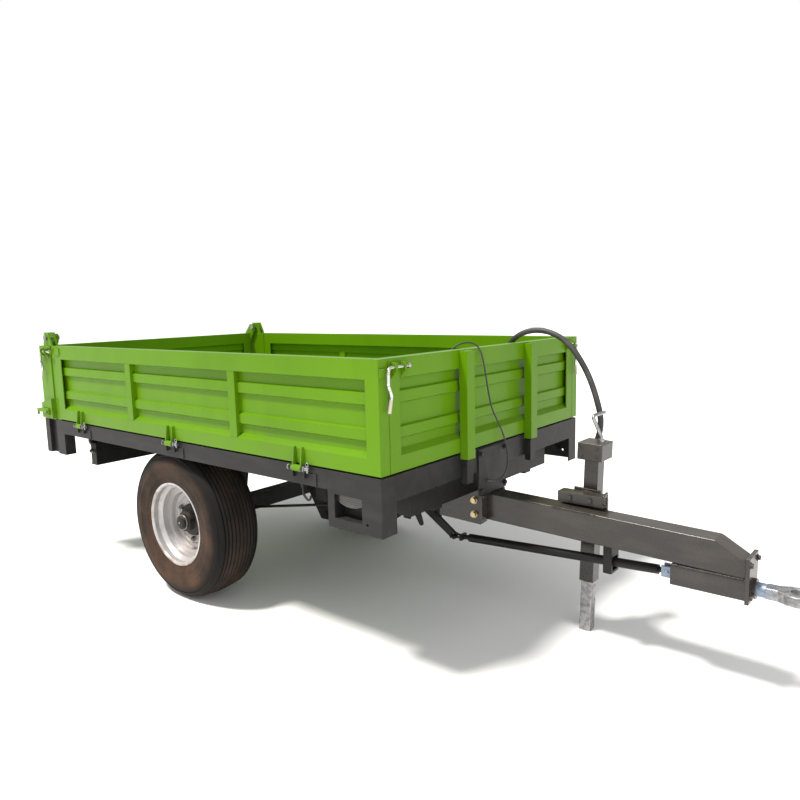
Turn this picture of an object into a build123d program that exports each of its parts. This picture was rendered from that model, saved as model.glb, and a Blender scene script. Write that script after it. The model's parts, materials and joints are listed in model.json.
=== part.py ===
from build123d import *
import os
from math import atan2, cos, pi, radians, sin, sqrt, tan

# Single-axle tipping farm trailer, millimetres.
# +X points forward to the tow eye, +Y to the trailer's left, +Z up, and the ground is z = 0.

# ---------------------------------------------------------------- driving dimensions
BED_FRONT = 727.0  # outer face of the front wall
BED_LENGTH = 2678.0
HALF_WIDTH = 800.0
RAIL_TOP = 824.0
BOARD_BOTTOM = 832.0
BOARD_TOP = 1259.0
BOARD_THICK = 52.0
SHEET = 6.0
WALL_GAP = 3.0
TYRE_RADIUS = 385.0
TYRE_WIDTH = 264.0
WHEEL_Y = 652.0
EYE_HEIGHT = 405.0
EYE_HOLE_RADIUS = 25.0

BED_REAR = BED_FRONT - BED_LENGTH
SIDES = (-1, 1)  # -1 is the trailer's right side, 1 its left
AXLE_X = BED_FRONT - 1410.0

PILLAR_LENGTH = 190.0
BOARD_REAR = BED_REAR + PILLAR_LENGTH + 4.0
WALL_HALF = HALF_WIDTH - BOARD_THICK - WALL_GAP
TAILGATE_HALF = WALL_HALF - 15.0

HINGE_PIN_Y = HALF_WIDTH + 15.0
HINGE_PIN_Z = 815.0
HINGE_PIN_RADIUS = 7.0
HINGE_POSITIONS = [BED_FRONT - offset for offset in (396.0, 1300.0, 2191.0)]
BOARD_POSTS = [BED_FRONT - offset for offset in (850.0, 1698.0)]
FRONT_POSTS = (-268.0, 268.0)
RUNNING_GAP = 0.05  # radial clearance of a pin in its own bore

TIP_X = BED_FRONT - 2300.0
TIP_Z = 730.0
RAM_LOW = (BED_FRONT - 1040.0, 330.0)
RAM_HIGH = (BED_FRONT - 1000.0, 750.0)

LATCH_Z = 1227.0
LATCH_ROD_RADIUS = 6.5
GATE_PIVOT = (BED_REAR + 88.0, 1305.0)
LOCK_PIVOT = (BED_REAR + 86.0, 871.0)

CRANK_SHAFT = (BED_FRONT - 412.0, 455.0)  # brake bell crank
CRANK_LOW = (BED_FRONT - 247.0, 344.0)
CRANK_HIGH = (BED_FRONT - 412.0, 505.0)
CLEVIS_PIN = (BED_FRONT + 765.0, 400.0)
CAM_PIVOT = (AXLE_X + 70.0, 350.0)
CAM_LEVER_END = (AXLE_X + 70.0, 418.0)

JACK_X = BED_FRONT + 396.0
JACK_Y = 130.0
JACK_PIVOT_Z = 615.0
JACK_LEAN = 2.0  # degrees, the head forward of the foot


# ---------------------------------------------------------------- shape helpers
def span(first, second):
    """Return the two values as a (low, high) pair."""
    return (min(first, second), max(first, second))


def block(x, y, z, frame=Plane.XY, mode=Mode.ADD):
    """Add a box that fills the (low, high) ranges x, y and z of a frame."""
    centre = tuple((low + high) / 2 for low, high in (x, y, z))
    with Locations(frame.location):
        with Locations(centre):
            Box(x[1] - x[0], y[1] - y[0], z[1] - z[0], mode=mode)


def bar(start, end, radius, frame=Plane.XY, mode=Mode.ADD):
    """Add a round bar from one point to another in a frame."""
    axis = Vector(*end) - Vector(*start)
    middle = (Vector(*start) + Vector(*end)) * 0.5
    with Locations(frame.location):
        with Locations(Plane(origin=middle, z_dir=axis).location):
            Cylinder(radius, axis.length, mode=mode)


def slab(outline, plane, thickness, mode=Mode.ADD):
    """Add a plate: a straight-sided outline in a plane, thickened along the plane's normal."""
    with BuildSketch(plane) as face:
        Polygon(*outline, align=None)
    extrude(face.sketch, amount=thickness, mode=mode)


def side_plane(y):
    """Plane across the trailer at y: its axes are X and Z, and its normal points to -Y."""
    return Plane(origin=(0, y, 0), x_dir=(1, 0, 0), z_dir=(0, -1, 0))


def end_plane(x):
    """Plane along the trailer at x: its axes are Y and Z, and its normal points to +X."""
    return Plane(origin=(x, 0, 0), x_dir=(0, 1, 0), z_dir=(1, 0, 0))


def cross_bar(x, z, y, radius, mode=Mode.ADD):
    """Add a round bar along Y at the point (x, z), over the range y."""
    bar((x, y[0], z), (x, y[1], z), radius, mode=mode)


def hexagon_head(centre, direction, across_flats, height):
    """Add a hexagonal head that stands on a point and points in a direction."""
    with BuildSketch(Plane(origin=centre, z_dir=direction)) as head:
        RegularPolygon(across_flats / sqrt(3), 6)
    extrude(head.sketch, amount=height)


def bent_rod(points, radii, plane_normal, radius):
    """Add a round rod that follows straight runs joined by tangent arcs."""
    with BuildLine() as path:
        FilletPolyline(*points, radius=radii)
    start = Plane(origin=path.wire() @ 0, z_dir=path.wire() % 0, x_dir=plane_normal)
    with BuildSketch(start) as section:
        Circle(radius)
    sweep(section.sketch, path=path.wire())


def finish(builder, label):
    """Label a finished piece and write it as one STEP file."""
    builder.part.label = label
    export_step(builder.part, f"parts/{label}.step")


os.makedirs("parts", exist_ok=True)

# ---------------------------------------------------------------- formed drop-side section
# The section is given as depth from the outer face and height above the ground.
TOP_RAIL_LOW = BOARD_TOP - 75.0
LOW_RAIL_HIGH = BOARD_BOTTOM + 61.0
WEB_OUTER = 26.0
WEB_INNER = 30.0
RIB_OUTER = 14.0
RIB_INNER = 18.0
UPPER_RIB = (1091.0, 1133.0)
LOWER_RIB = (957.0, 997.0)
RIB_SLOPE = 6.0
RAIL_WALL = 4.0


def board_outline():
    """Return the formed section's outline: two hollow rails and a web with two swaged ribs."""
    outer = [(0, BOARD_BOTTOM), (0, LOW_RAIL_HIGH), (WEB_OUTER, LOW_RAIL_HIGH + 21)]
    inner = [(BOARD_THICK, BOARD_BOTTOM), (BOARD_THICK, LOW_RAIL_HIGH), (WEB_INNER, LOW_RAIL_HIGH + 18)]
    for low, high in (LOWER_RIB, UPPER_RIB):
        outer += [(WEB_OUTER, low - RIB_SLOPE), (RIB_OUTER, low), (RIB_OUTER, high)]
        outer += [(WEB_OUTER, high + RIB_SLOPE)]
        inner += [(WEB_INNER, low - RIB_SLOPE + 3), (RIB_INNER, low + 3), (RIB_INNER, high - 3)]
        inner += [(WEB_INNER, high + RIB_SLOPE - 3)]
    outer += [(WEB_OUTER, TOP_RAIL_LOW - 5), (0, TOP_RAIL_LOW), (0, BOARD_TOP)]
    inner += [(WEB_INNER, TOP_RAIL_LOW - 5), (BOARD_THICK, TOP_RAIL_LOW), (BOARD_THICK, BOARD_TOP)]
    return outer + inner[::-1]


def formed_panel(plane, length):
    """Add a formed panel: the plane's x axis is depth, its y axis is up, its normal the length."""
    slab(board_outline(), plane, length)
    hollow = (RAIL_WALL, BOARD_THICK - RAIL_WALL)
    for low, high in ((BOARD_BOTTOM, LOW_RAIL_HIGH), (TOP_RAIL_LOW, BOARD_TOP)):
        low_edge, high_edge = low + RAIL_WALL, high - RAIL_WALL
        first, last = hollow
        corners = [(first, low_edge), (last, low_edge), (last, high_edge), (first, high_edge)]
        slab(corners, plane, length, mode=Mode.SUBTRACT)


def end_stiles(plane, length, width):
    """Add the flat stiles and the end plates that close a formed panel at both ends."""
    height = (BOARD_BOTTOM, BOARD_TOP)
    for start, end in ((0, width), (length - width, length)):
        block((0, 5), height, (start, end), frame=plane)
        block((BOARD_THICK - 5, BOARD_THICK), height, (start, end), frame=plane)
    for start in (0, length - SHEET):
        block((0, BOARD_THICK), height, (start, start + SHEET), frame=plane)


# ---------------------------------------------------------------- chassis
RAIL_Y = (350.0, 410.0)
CHASSIS_RAIL_Z = (600.0, 700.0)
FRONT_MEMBER_X = (BED_FRONT - 160.0, BED_FRONT - 60.0)
CRANK_MEMBER_X = (BED_FRONT - 442.0, BED_FRONT - 382.0)
RAM_MEMBER_X = (BED_FRONT - 1270.0, BED_FRONT - 1210.0)
REAR_BEAM_X = (BED_FRONT - 2352.0, BED_FRONT - 2292.0)
HANGER_Y = (145.0, 153.0)
RAM_CHEEK_Y = (72.0, 82.0)

with BuildPart() as chassis_frame:
    for side in SIDES:
        rail_y = span(side * RAIL_Y[0], side * RAIL_Y[1])
        block((REAR_BEAM_X[0], FRONT_MEMBER_X[1]), rail_y, CHASSIS_RAIL_Z)
        lug_y = span(side * 362, side * 398)
        block((TIP_X - 22, TIP_X + 22), lug_y, (CHASSIS_RAIL_Z[1], TIP_Z))
        cross_bar(TIP_X, TIP_Z, lug_y, 22)
        brace = [(BED_FRONT - 760, side * 352), (BED_FRONT - 690, side * 352)]
        brace += [(BED_FRONT - 230, side * 64), (BED_FRONT - 300, side * 64)]
        slab(brace, Plane.XY.offset(535), 66)
        slab(
            [(BED_FRONT - 760, 535), (BED_FRONT - 690, 535), (BED_FRONT - 690, 602), (BED_FRONT - 760, 602)],
            side_plane(side * 380 + 30),
            60,
        )
    block(FRONT_MEMBER_X, (-560, 560), (612, 700))
    block(CRANK_MEMBER_X, (-352, 352), (620, 690))
    block(RAM_MEMBER_X, (-352, 352), (600, 680))
    block(REAR_BEAM_X, (-700, 700), (560, 690))
    block((REAR_BEAM_X[0] - 8, REAR_BEAM_X[0]), (-700, 700), (560, 568))
    for side in SIDES:
        hanger = [(CRANK_SHAFT[0] - 30, 622), (CRANK_SHAFT[0] + 30, 622)]
        hanger += [(CRANK_SHAFT[0] + 20, 437), (CRANK_SHAFT[0] - 20, 437)]
        slab(hanger, side_plane(max(side * HANGER_Y[0], side * HANGER_Y[1])), HANGER_Y[1] - HANGER_Y[0])
        cheek = [(RAM_MEMBER_X[0], 602), (RAM_MEMBER_X[1], 602), (RAM_LOW[0] + 34, 372)]
        cheek += [(RAM_LOW[0] + 34, 300), (RAM_LOW[0] - 34, 300)]
        cheek_y = max(side * RAM_CHEEK_Y[0], side * RAM_CHEEK_Y[1])
        slab(cheek, side_plane(cheek_y), RAM_CHEEK_Y[1] - RAM_CHEEK_Y[0])
    cross_bar(CRANK_SHAFT[0], CRANK_SHAFT[1], (-160, 160), 12 + RUNNING_GAP, mode=Mode.SUBTRACT)
    cross_bar(RAM_LOW[0], RAM_LOW[1], (-90, 90), 15 + RUNNING_GAP, mode=Mode.SUBTRACT)
    cross_bar(TIP_X, TIP_Z, (-450, 450), 14 + RUNNING_GAP, mode=Mode.SUBTRACT)
finish(chassis_frame, "chassis_frame")

BACKPLATE_Y = (540.0, 546.0)
with BuildPart() as axle_beam:
    block((AXLE_X - 40, AXLE_X + 40), (-BACKPLATE_Y[0], BACKPLATE_Y[0]), (352, 432))
    for side in SIDES:
        stand_y = max(side * RAIL_Y[0], side * RAIL_Y[1])
        stand = [(AXLE_X - 40, 432), (AXLE_X + 40, 432), (AXLE_X + 75, 600), (AXLE_X - 75, 600)]
        slab(stand, side_plane(stand_y), RAIL_Y[1] - RAIL_Y[0])
        cross_bar(AXLE_X, TYRE_RADIUS, span(side * BACKPLATE_Y[0], side * BACKPLATE_Y[1]), 146)
        cross_bar(AXLE_X, TYRE_RADIUS, span(side * BACKPLATE_Y[0], side * (WHEEL_Y + 38)), 20)
        cross_bar(CAM_PIVOT[0], CAM_PIVOT[1], span(side * 522, side * 541), 16)
        cross_bar(CAM_PIVOT[0], CAM_PIVOT[1], span(side * 502, side * 523), 9)
finish(axle_beam, "axle_beam")

DRAWBAR_HALF = 50.0
DRAWBAR_WALL = 6.0
drawbar_outline = [(BED_FRONT - 300, 481), (BED_FRONT - 300, 608), (BED_FRONT + 940, 574)]
drawbar_outline += [(BED_FRONT + 1050, 509), (BED_FRONT + 1050, 448)]
with BuildPart() as drawbar_tube:
    slab(drawbar_outline, side_plane(DRAWBAR_HALF), 2 * DRAWBAR_HALF)
    long_edges = drawbar_tube.edges().filter_by(lambda edge: edge.length > 500)
    fillet(long_edges, radius=7)
    bore = [(BED_FRONT - 310, 487), (BED_FRONT - 310, 602), (BED_FRONT + 937, 568)]
    bore += [(BED_FRONT + 1042, 506), (BED_FRONT + 1042, 454)]
    slab(bore, side_plane(DRAWBAR_HALF - DRAWBAR_WALL), 2 * (DRAWBAR_HALF - DRAWBAR_WALL), mode=Mode.SUBTRACT)
finish(drawbar_tube, "drawbar_tube")

SOCKET_X = (BED_FRONT - 284.0, BED_FRONT - 26.0)
SOCKET_Y = (50.4, 62.0)
with BuildPart() as drawbar_socket:
    for side in SIDES:
        cheek = [(SOCKET_X[0], 455), (BED_FRONT - 54, 449), (SOCKET_X[1], 470), (SOCKET_X[1], 612)]
        cheek += [(SOCKET_X[0], 612)]
        slab(cheek, side_plane(max(side * SOCKET_Y[0], side * SOCKET_Y[1])), SOCKET_Y[1] - SOCKET_Y[0])
        flange_y = span(side * SOCKET_Y[0], side * 96)
        block((SOCKET_X[1] - 8, SOCKET_X[1]), flange_y, (474, 612))
finish(drawbar_socket, "drawbar_socket")

SOCKET_BOLTS = [(BED_FRONT - 87.0, 559.0), (BED_FRONT - 87.0, 493.0)]
with BuildPart() as drawbar_bolts:
    for side in SIDES:
        for x, z in SOCKET_BOLTS:
            cross_bar(x, z, span(side * 62, side * 65), 17)
            hexagon_head((x, side * 65, z), (0, side, 0), 24, 13)
finish(drawbar_bolts, "drawbar_bolts")

HOUSING_X = (BED_FRONT + 787.0, BED_FRONT + 1052.0)
END_PLATE_X = (BED_FRONT + 1052.0, BED_FRONT + 1066.0)
SHAFT_RADIUS = 26.0
with BuildPart() as overrun_housing:
    block(HOUSING_X, (-48, 48), (366, 446))
    fillet(overrun_housing.edges().filter_by(Axis.X), radius=6)
    block((HOUSING_X[0] + 14, HOUSING_X[1] - 14), (-42, 42), (372, 440), mode=Mode.SUBTRACT)
    block(END_PLATE_X, (-62, 62), (360, 530))
    bar((END_PLATE_X[1], 0, EYE_HEIGHT), (END_PLATE_X[1] + 13, 0, EYE_HEIGHT), 37)
    shaft_hole = SHAFT_RADIUS + RUNNING_GAP
    bar(
        (HOUSING_X[0] - 1, 0, EYE_HEIGHT),
        (END_PLATE_X[1] + 14, 0, EYE_HEIGHT),
        shaft_hole,
        mode=Mode.SUBTRACT,
    )
finish(overrun_housing, "overrun_housing")

GUIDE_X = (BED_FRONT + 516.0, BED_FRONT + 552.0)
with BuildPart() as push_rod_guide:
    block(GUIDE_X, (-36, 36), (346, 460))
    block((GUIDE_X[0] - 1, GUIDE_X[1] + 1), (-25, 25), (356, 414), mode=Mode.SUBTRACT)
finish(push_rod_guide, "push_rod_guide")

BRACKET_X = (BED_FRONT + 292.0, BED_FRONT + 492.0)
BRACKET_TOP = 646.0
JACK_STUD_RADIUS = 15.0
with BuildPart() as jack_bracket:
    block(BRACKET_X, (6, 14), (601, BRACKET_TOP))
    block(BRACKET_X, (14, 62), (BRACKET_TOP - 8, BRACKET_TOP))
    block(BRACKET_X, (54, 66), (540, BRACKET_TOP))
    cross_bar(JACK_X, JACK_PIVOT_Z, (66, 66.3), 40)
    cross_bar(JACK_X, JACK_PIVOT_Z, (66, 92), JACK_STUD_RADIUS)
    for x in (BRACKET_X[0] + 55, BRACKET_X[1] - 55):
        hexagon_head((x, 6, 624), (0, -1, 0), 19, 9)
    bent_rod(
        [
            (BRACKET_X[1] + 12, 10, 622),
            (BRACKET_X[1] + 12, -14, 622),
            (BRACKET_X[1] + 12, -18, 660),
            (BRACKET_X[1] + 12, 22, 664),
        ],
        [10, 14],
        (1, 0, 0),
        5,
    )
    block((BRACKET_X[1] - 2, BRACKET_X[1] + 20), (6, 20), (604, 640))
finish(jack_bracket, "jack_bracket")

HOSE_FOOT = (BED_FRONT + 340.0, 250.0, 690.0)
PIPE_RADIUS = 8.0
with BuildPart() as hose_pipe:
    bent_rod(
        [
            (BED_FRONT + 326, 52, 520),
            (BED_FRONT + 326, 215, 520),
            (HOSE_FOOT[0], HOSE_FOOT[1], 575),
            (HOSE_FOOT[0], HOSE_FOOT[1], 668),
        ],
        [30, 35],
        (1, 0, 0),
        PIPE_RADIUS,
    )
    bar((HOSE_FOOT[0], HOSE_FOOT[1], 660), HOSE_FOOT, 11)
    hexagon_head((HOSE_FOOT[0], HOSE_FOOT[1], 650), (0, 0, 1), 27, 18)
    block((BED_FRONT + 306, BED_FRONT + 346), (50.4, 56), (500, 540))
finish(hose_pipe, "hose_pipe")

LAMP_Y = 655.0
LAMP_Z = 695.0
with BuildPart() as rear_lamps:
    for side in SIDES:
        bar((REAR_BEAM_X[0] - 14, side * LAMP_Y, LAMP_Z), (REAR_BEAM_X[0], side * LAMP_Y, LAMP_Z), 46)
        bar((REAR_BEAM_X[0] - 46, side * LAMP_Y, LAMP_Z), (REAR_BEAM_X[0] - 14, side * LAMP_Y, LAMP_Z), 41)
    outer_rims = rear_lamps.edges().filter_by(GeomType.CIRCLE).group_by(Axis.X)[0]
    fillet(outer_rims, radius=16)
finish(rear_lamps, "rear_lamps")

# ---------------------------------------------------------------- bed underside
BEARER_Z = (784.0, RAIL_TOP)
BEARER_OFFSETS = (60.0, 560.0, 1000.0, 1740.0, 2300.0, 2610.0)
LONG_BEARER_Z = (700.4, BEARER_Z[0])


def bearer_top(offset):
    """Return a cross bearer's top, lower where it runs under the front rail's flange."""
    return RAIL_TOP - SHEET if offset < 100 else RAIL_TOP


with BuildPart() as bed_bearers:
    for offset in BEARER_OFFSETS:
        middle = BED_FRONT - offset
        block((middle - 30, middle + 30), (-692, 692), (BEARER_Z[0], bearer_top(offset)))
    for side in SIDES:
        bearer_y = span(side * RAIL_Y[0], side * RAIL_Y[1])
        block((TIP_X + 50, BED_FRONT - 40), bearer_y, LONG_BEARER_Z)
        for inner, outer in ((344, 356), (404, 416)):
            ear_y = span(side * inner, side * outer)
            block((TIP_X - 28, TIP_X + 28), ear_y, (TIP_Z, BEARER_Z[0] + 1))
            cross_bar(TIP_X, TIP_Z, ear_y, 24)
        ram_ear = [(RAM_HIGH[0] - 34, 722), (RAM_HIGH[0] + 34, 722), (RAM_HIGH[0] + 60, 785)]
        ram_ear += [(RAM_HIGH[0] - 60, 785)]
        slab(ram_ear, side_plane(max(side * 46, side * 58)), 12)
    cross_bar(TIP_X, TIP_Z, (-450, 450), 14, mode=Mode.SUBTRACT)
    cross_bar(RAM_HIGH[0], RAM_HIGH[1], (-66, 66), 12, mode=Mode.SUBTRACT)
    ram_clear = (BED_FRONT - 1031, BED_FRONT - 969)
    block(ram_clear, (-45, 45), (BEARER_Z[0] - 1, BEARER_Z[0] + 14), mode=Mode.SUBTRACT)
finish(bed_bearers, "bed_bearers")

with BuildPart() as pivot_pins:
    for side in SIDES:
        cross_bar(TIP_X, TIP_Z, span(side * 338, side * 424), 14)
        cross_bar(GATE_PIVOT[0], GATE_PIVOT[1], span(side * 721, side * 798), 9)
        for end in (721, 798):
            cross_bar(GATE_PIVOT[0], GATE_PIVOT[1], span(side * end, side * (end + 5)), 15)
    cross_bar(RAM_HIGH[0], RAM_HIGH[1], (-64, 64), 12)
finish(pivot_pins, "pivot_pins")

with BuildPart() as bed_floor:
    block((BED_REAR + 2, BED_FRONT - BOARD_THICK - 1), (-WALL_HALF, WALL_HALF), (RAIL_TOP, RAIL_TOP + 5))
finish(bed_floor, "bed_floor")

# ---------------------------------------------------------------- grey skirt
CORNER_LENGTH = 279.0
CORNER_DEPTH = 83.0
CORNER_LOW = 600.0
REAR_CORNER_LENGTH = 226.0
REAR_CORNER_LOW = 620.0
SIDE_RAIL_LOW = 746.0
FRONT_RAIL_LOW = 724.0
with BuildPart() as skirt_rails:
    for side in SIDES:
        rail_x = (BED_REAR + REAR_CORNER_LENGTH, BED_FRONT - CORNER_LENGTH)
        flange_y = span(side * (HALF_WIDTH - 106), side * HALF_WIDTH)
        block(rail_x, flange_y, (RAIL_TOP - SHEET, RAIL_TOP))
        block(rail_x, span(side * (HALF_WIDTH - SHEET), side * HALF_WIDTH), (SIDE_RAIL_LOW, RAIL_TOP))
        lip_y = span(side * (HALF_WIDTH - 18), side * HALF_WIDTH)
        block(rail_x, lip_y, (SIDE_RAIL_LOW, SIDE_RAIL_LOW + SHEET))
        for hinge_x in HINGE_POSITIONS:
            for start, end in ((-72.0, -61.0), (-4.0, 6.0)):
                lug_y = span(side * (HALF_WIDTH - 1), side * HINGE_PIN_Y)
                block((hinge_x + start, hinge_x + end), lug_y, (776, HINGE_PIN_Z + 10))
                lug_span = (hinge_x + start, side * HINGE_PIN_Y, HINGE_PIN_Z)
                bar(lug_span, (hinge_x + end, side * HINGE_PIN_Y, HINGE_PIN_Z), 13.5)
            plate_y = span(side * HALF_WIDTH, side * (HALF_WIDTH + 4))
            block((hinge_x - 80, hinge_x + 60), plate_y, (SIDE_RAIL_LOW + 2, 798))
            bore_end = (hinge_x + 30, side * HINGE_PIN_Y, HINGE_PIN_Z)
            bore_start = (hinge_x - 90, side * HINGE_PIN_Y, HINGE_PIN_Z)
            bar(bore_start, bore_end, HINGE_PIN_RADIUS, mode=Mode.SUBTRACT)
        bent_rod(
            [
                (BED_FRONT - 430, side * 790, 740),
                (BED_FRONT - 426, side * 790, 700),
                (BED_FRONT - 396, side * 790, 672),
                (BED_FRONT - 384, side * 790, 700),
            ],
            [12, 14],
            (0, 1, 0),
            5,
        )
        block((BED_FRONT - 436, BED_FRONT - 424), span(side * 784, side * 795), (730, SIDE_RAIL_LOW + 1))
    front_half = HALF_WIDTH - CORNER_DEPTH
    block((BED_FRONT - SHEET, BED_FRONT), (-front_half, front_half), (FRONT_RAIL_LOW, RAIL_TOP))
    block((BED_FRONT - 60, BED_FRONT), (-front_half, front_half), (RAIL_TOP - SHEET, RAIL_TOP))
finish(skirt_rails, "skirt_rails")

WINDOW_X = (BED_FRONT - 243.0, BED_FRONT - 100.0)
WINDOW_Z = (638.0, 734.0)
POCKET_DEPTH = 60.0
with BuildPart() as front_corner_brackets:
    for side in SIDES:
        corner_y = span(side * (HALF_WIDTH - CORNER_DEPTH), side * HALF_WIDTH)
        box_x = (BED_FRONT - CORNER_LENGTH, BED_FRONT)
        block(box_x, corner_y, (CORNER_LOW, RAIL_TOP))
        hollow_y = span(side * (HALF_WIDTH - CORNER_DEPTH - 1), side * (HALF_WIDTH - SHEET))
        hollow_x = (box_x[0] + SHEET, box_x[1] - SHEET)
        block(hollow_x, hollow_y, (CORNER_LOW - 1, RAIL_TOP - SHEET), mode=Mode.SUBTRACT)
        pocket_y = span(side * (HALF_WIDTH - POCKET_DEPTH), side * HALF_WIDTH)
        pocket_x = (WINDOW_X[0] - 4, WINDOW_X[1] + 4)
        block(pocket_x, pocket_y, (WINDOW_Z[0] - 4, WINDOW_Z[1] + 4))
        recess_y = span(side * (HALF_WIDTH - POCKET_DEPTH + 4), side * (HALF_WIDTH + 1))
        block(WINDOW_X, recess_y, WINDOW_Z, mode=Mode.SUBTRACT)
        hole_y = span(side * (HALF_WIDTH - 10), side * (HALF_WIDTH + 2))
        cross_bar(BED_FRONT - 75, 640, hole_y, 6, mode=Mode.SUBTRACT)
    upright = front_corner_brackets.edges().filter_by(Axis.Z).group_by(Axis.X)[-1]
    outside = upright.filter_by(lambda edge: abs(edge.center().Y) > HALF_WIDTH - 1)
    fillet(outside, radius=5)
finish(front_corner_brackets, "front_corner_brackets")

with BuildPart() as marker_lamps:
    for side in SIDES:
        lens_y = span(side * (HALF_WIDTH - POCKET_DEPTH + 4), side * (HALF_WIDTH - 14))
        middle = (WINDOW_X[0] + WINDOW_X[1]) / 2
        with BuildSketch(side_plane(lens_y[1])) as lens:
            with Locations((middle, WINDOW_Z[1] + 92)):
                Circle(140)
            with Locations((middle, WINDOW_Z[1] - 25)):
                Rectangle(WINDOW_X[1] - WINDOW_X[0], 50, mode=Mode.INTERSECT)
        extrude(lens.sketch, amount=lens_y[1] - lens_y[0])
finish(marker_lamps, "marker_lamps")

REAR_STRIP = 52.0
with BuildPart() as rear_corner_brackets:
    for side in SIDES:
        rear_x = (BED_REAR - 8, BED_REAR + REAR_CORNER_LENGTH)
        block(rear_x, span(side * (HALF_WIDTH - 60), side * HALF_WIDTH), (REAR_CORNER_LOW, RAIL_TOP))
        hollow = (rear_x[0] + SHEET, rear_x[1] - SHEET)
        inner = span(side * (HALF_WIDTH - 61), side * (HALF_WIDTH - 26))
        block(hollow, inner, (REAR_CORNER_LOW - 1, RAIL_TOP - SHEET), mode=Mode.SUBTRACT)
        channel = (rear_x[0] + REAR_STRIP, rear_x[0] + REAR_STRIP + 92)
        channel_y = span(side * (HALF_WIDTH - 20), side * (HALF_WIDTH + 1))
        block(channel, channel_y, (REAR_CORNER_LOW - 1, RAIL_TOP + 1), mode=Mode.SUBTRACT)
        for z in (706, 800):
            hole_y = span(side * (HALF_WIDTH - 30), side * HALF_WIDTH)
            cross_bar(channel[1] - 26, z, hole_y, 7, mode=Mode.SUBTRACT)
finish(rear_corner_brackets, "rear_corner_brackets")

PLATE_Y = (-165.0, 62.0)
CABLE_HOLE = (-92.0, 668.0)
POST_WIDTH = 56.0
POST_PROUD = 38.0
with BuildPart() as front_skirt_plates:
    block((BED_FRONT, BED_FRONT + SHEET), PLATE_Y, (612, RAIL_TOP - 4))
    for post_y in FRONT_POSTS:
        half = POST_WIDTH / 2 - 6
        block((BED_FRONT, BED_FRONT + POST_PROUD - 8), (post_y - half, post_y + half), (699, 800))
    hole_start = (BED_FRONT - 1, CABLE_HOLE[0], CABLE_HOLE[1])
    bar(hole_start, (BED_FRONT + SHEET + 1, CABLE_HOLE[0], CABLE_HOLE[1]), 9, mode=Mode.SUBTRACT)
finish(front_skirt_plates, "front_skirt_plates")

# ---------------------------------------------------------------- green bodywork
WALL_PLANE = Plane(origin=(BED_FRONT, -WALL_HALF, 0), x_dir=(-1, 0, 0), z_dir=(0, 1, 0))
with BuildPart() as front_wall:
    formed_panel(WALL_PLANE, 2 * WALL_HALF)
    end_stiles(WALL_PLANE, 2 * WALL_HALF, 63)
finish(front_wall, "front_wall")

with BuildPart() as front_posts:
    for post_y in FRONT_POSTS:
        post_span = (post_y - POST_WIDTH / 2, post_y + POST_WIDTH / 2)
        block((BED_FRONT + 0.2, BED_FRONT + POST_PROUD), post_span, (804, 1256))
        void = (post_span[0] + 5, post_span[1] - 5)
        block((BED_FRONT, BED_FRONT + POST_PROUD - 5), void, (800, 1250), mode=Mode.SUBTRACT)
finish(front_posts, "front_posts")

RIGHT_BOARD_PLANE = Plane(origin=(BOARD_REAR, -HALF_WIDTH, 0), x_dir=(0, 1, 0), z_dir=(1, 0, 0))
BOARD_LENGTH = BED_FRONT - BOARD_REAR
BARREL = (-60.6, -4.6)
with BuildPart() as right_board:
    formed_panel(RIGHT_BOARD_PLANE, BOARD_LENGTH)
    end_stiles(RIGHT_BOARD_PLANE, BOARD_LENGTH, 67)
    for post_x in BOARD_POSTS:
        post_z = (LOW_RAIL_HIGH + 2, TOP_RAIL_LOW + 2)
        block((post_x - 24.5, post_x + 24.5), (-HALF_WIDTH + 1, -HALF_WIDTH + WEB_INNER), post_z)
    for hinge_x in HINGE_POSITIONS:
        fin = [(-HINGE_PIN_Y - 8, HINGE_PIN_Z), (-HINGE_PIN_Y + 4, 899), (-HALF_WIDTH + 1, 899)]
        fin += [(-HALF_WIDTH + 1, BOARD_BOTTOM), (-HALF_WIDTH - 6, HINGE_PIN_Z)]
        slab(fin, end_plane(hinge_x + BARREL[1] - 8), 6)
        slab(fin, end_plane(hinge_x + BARREL[0] + 2), 6)
        start = (hinge_x + BARREL[0], -HINGE_PIN_Y, HINGE_PIN_Z)
        end = (hinge_x + BARREL[1], -HINGE_PIN_Y, HINGE_PIN_Z)
        bar(start, end, 13.5)
        bar(start, end, HINGE_PIN_RADIUS + RUNNING_GAP, mode=Mode.SUBTRACT)
    block((BED_FRONT, BED_FRONT + 6), (-HALF_WIDTH + 2, -HALF_WIDTH + 30), (1192, 1226))
    block((BOARD_REAR + 8, BOARD_REAR + 60), (-HALF_WIDTH - 5, -HALF_WIDTH), (1208, 1246))
finish(right_board, "right_board")

with BuildPart() as left_board:
    mirror(right_board.part, about=Plane.XZ)
finish(left_board, "left_board")

with BuildPart() as board_hinge_pins:
    for side in SIDES:
        for hinge_x in HINGE_POSITIONS:
            centre_y = side * HINGE_PIN_Y
            pin_rear = (hinge_x - 78, centre_y, HINGE_PIN_Z)
            bar(pin_rear, (hinge_x + 34, centre_y, HINGE_PIN_Z), HINGE_PIN_RADIUS)
            bar((hinge_x - 84, centre_y, HINGE_PIN_Z), (hinge_x - 78, centre_y, HINGE_PIN_Z), 12)
            bar((hinge_x + 6, centre_y, HINGE_PIN_Z), (hinge_x + 10, centre_y, HINGE_PIN_Z), 13)
            bar((hinge_x + 22, centre_y, HINGE_PIN_Z - 16), (hinge_x + 22, centre_y, HINGE_PIN_Z + 12), 2.2)
finish(board_hinge_pins, "board_hinge_pins")

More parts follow.
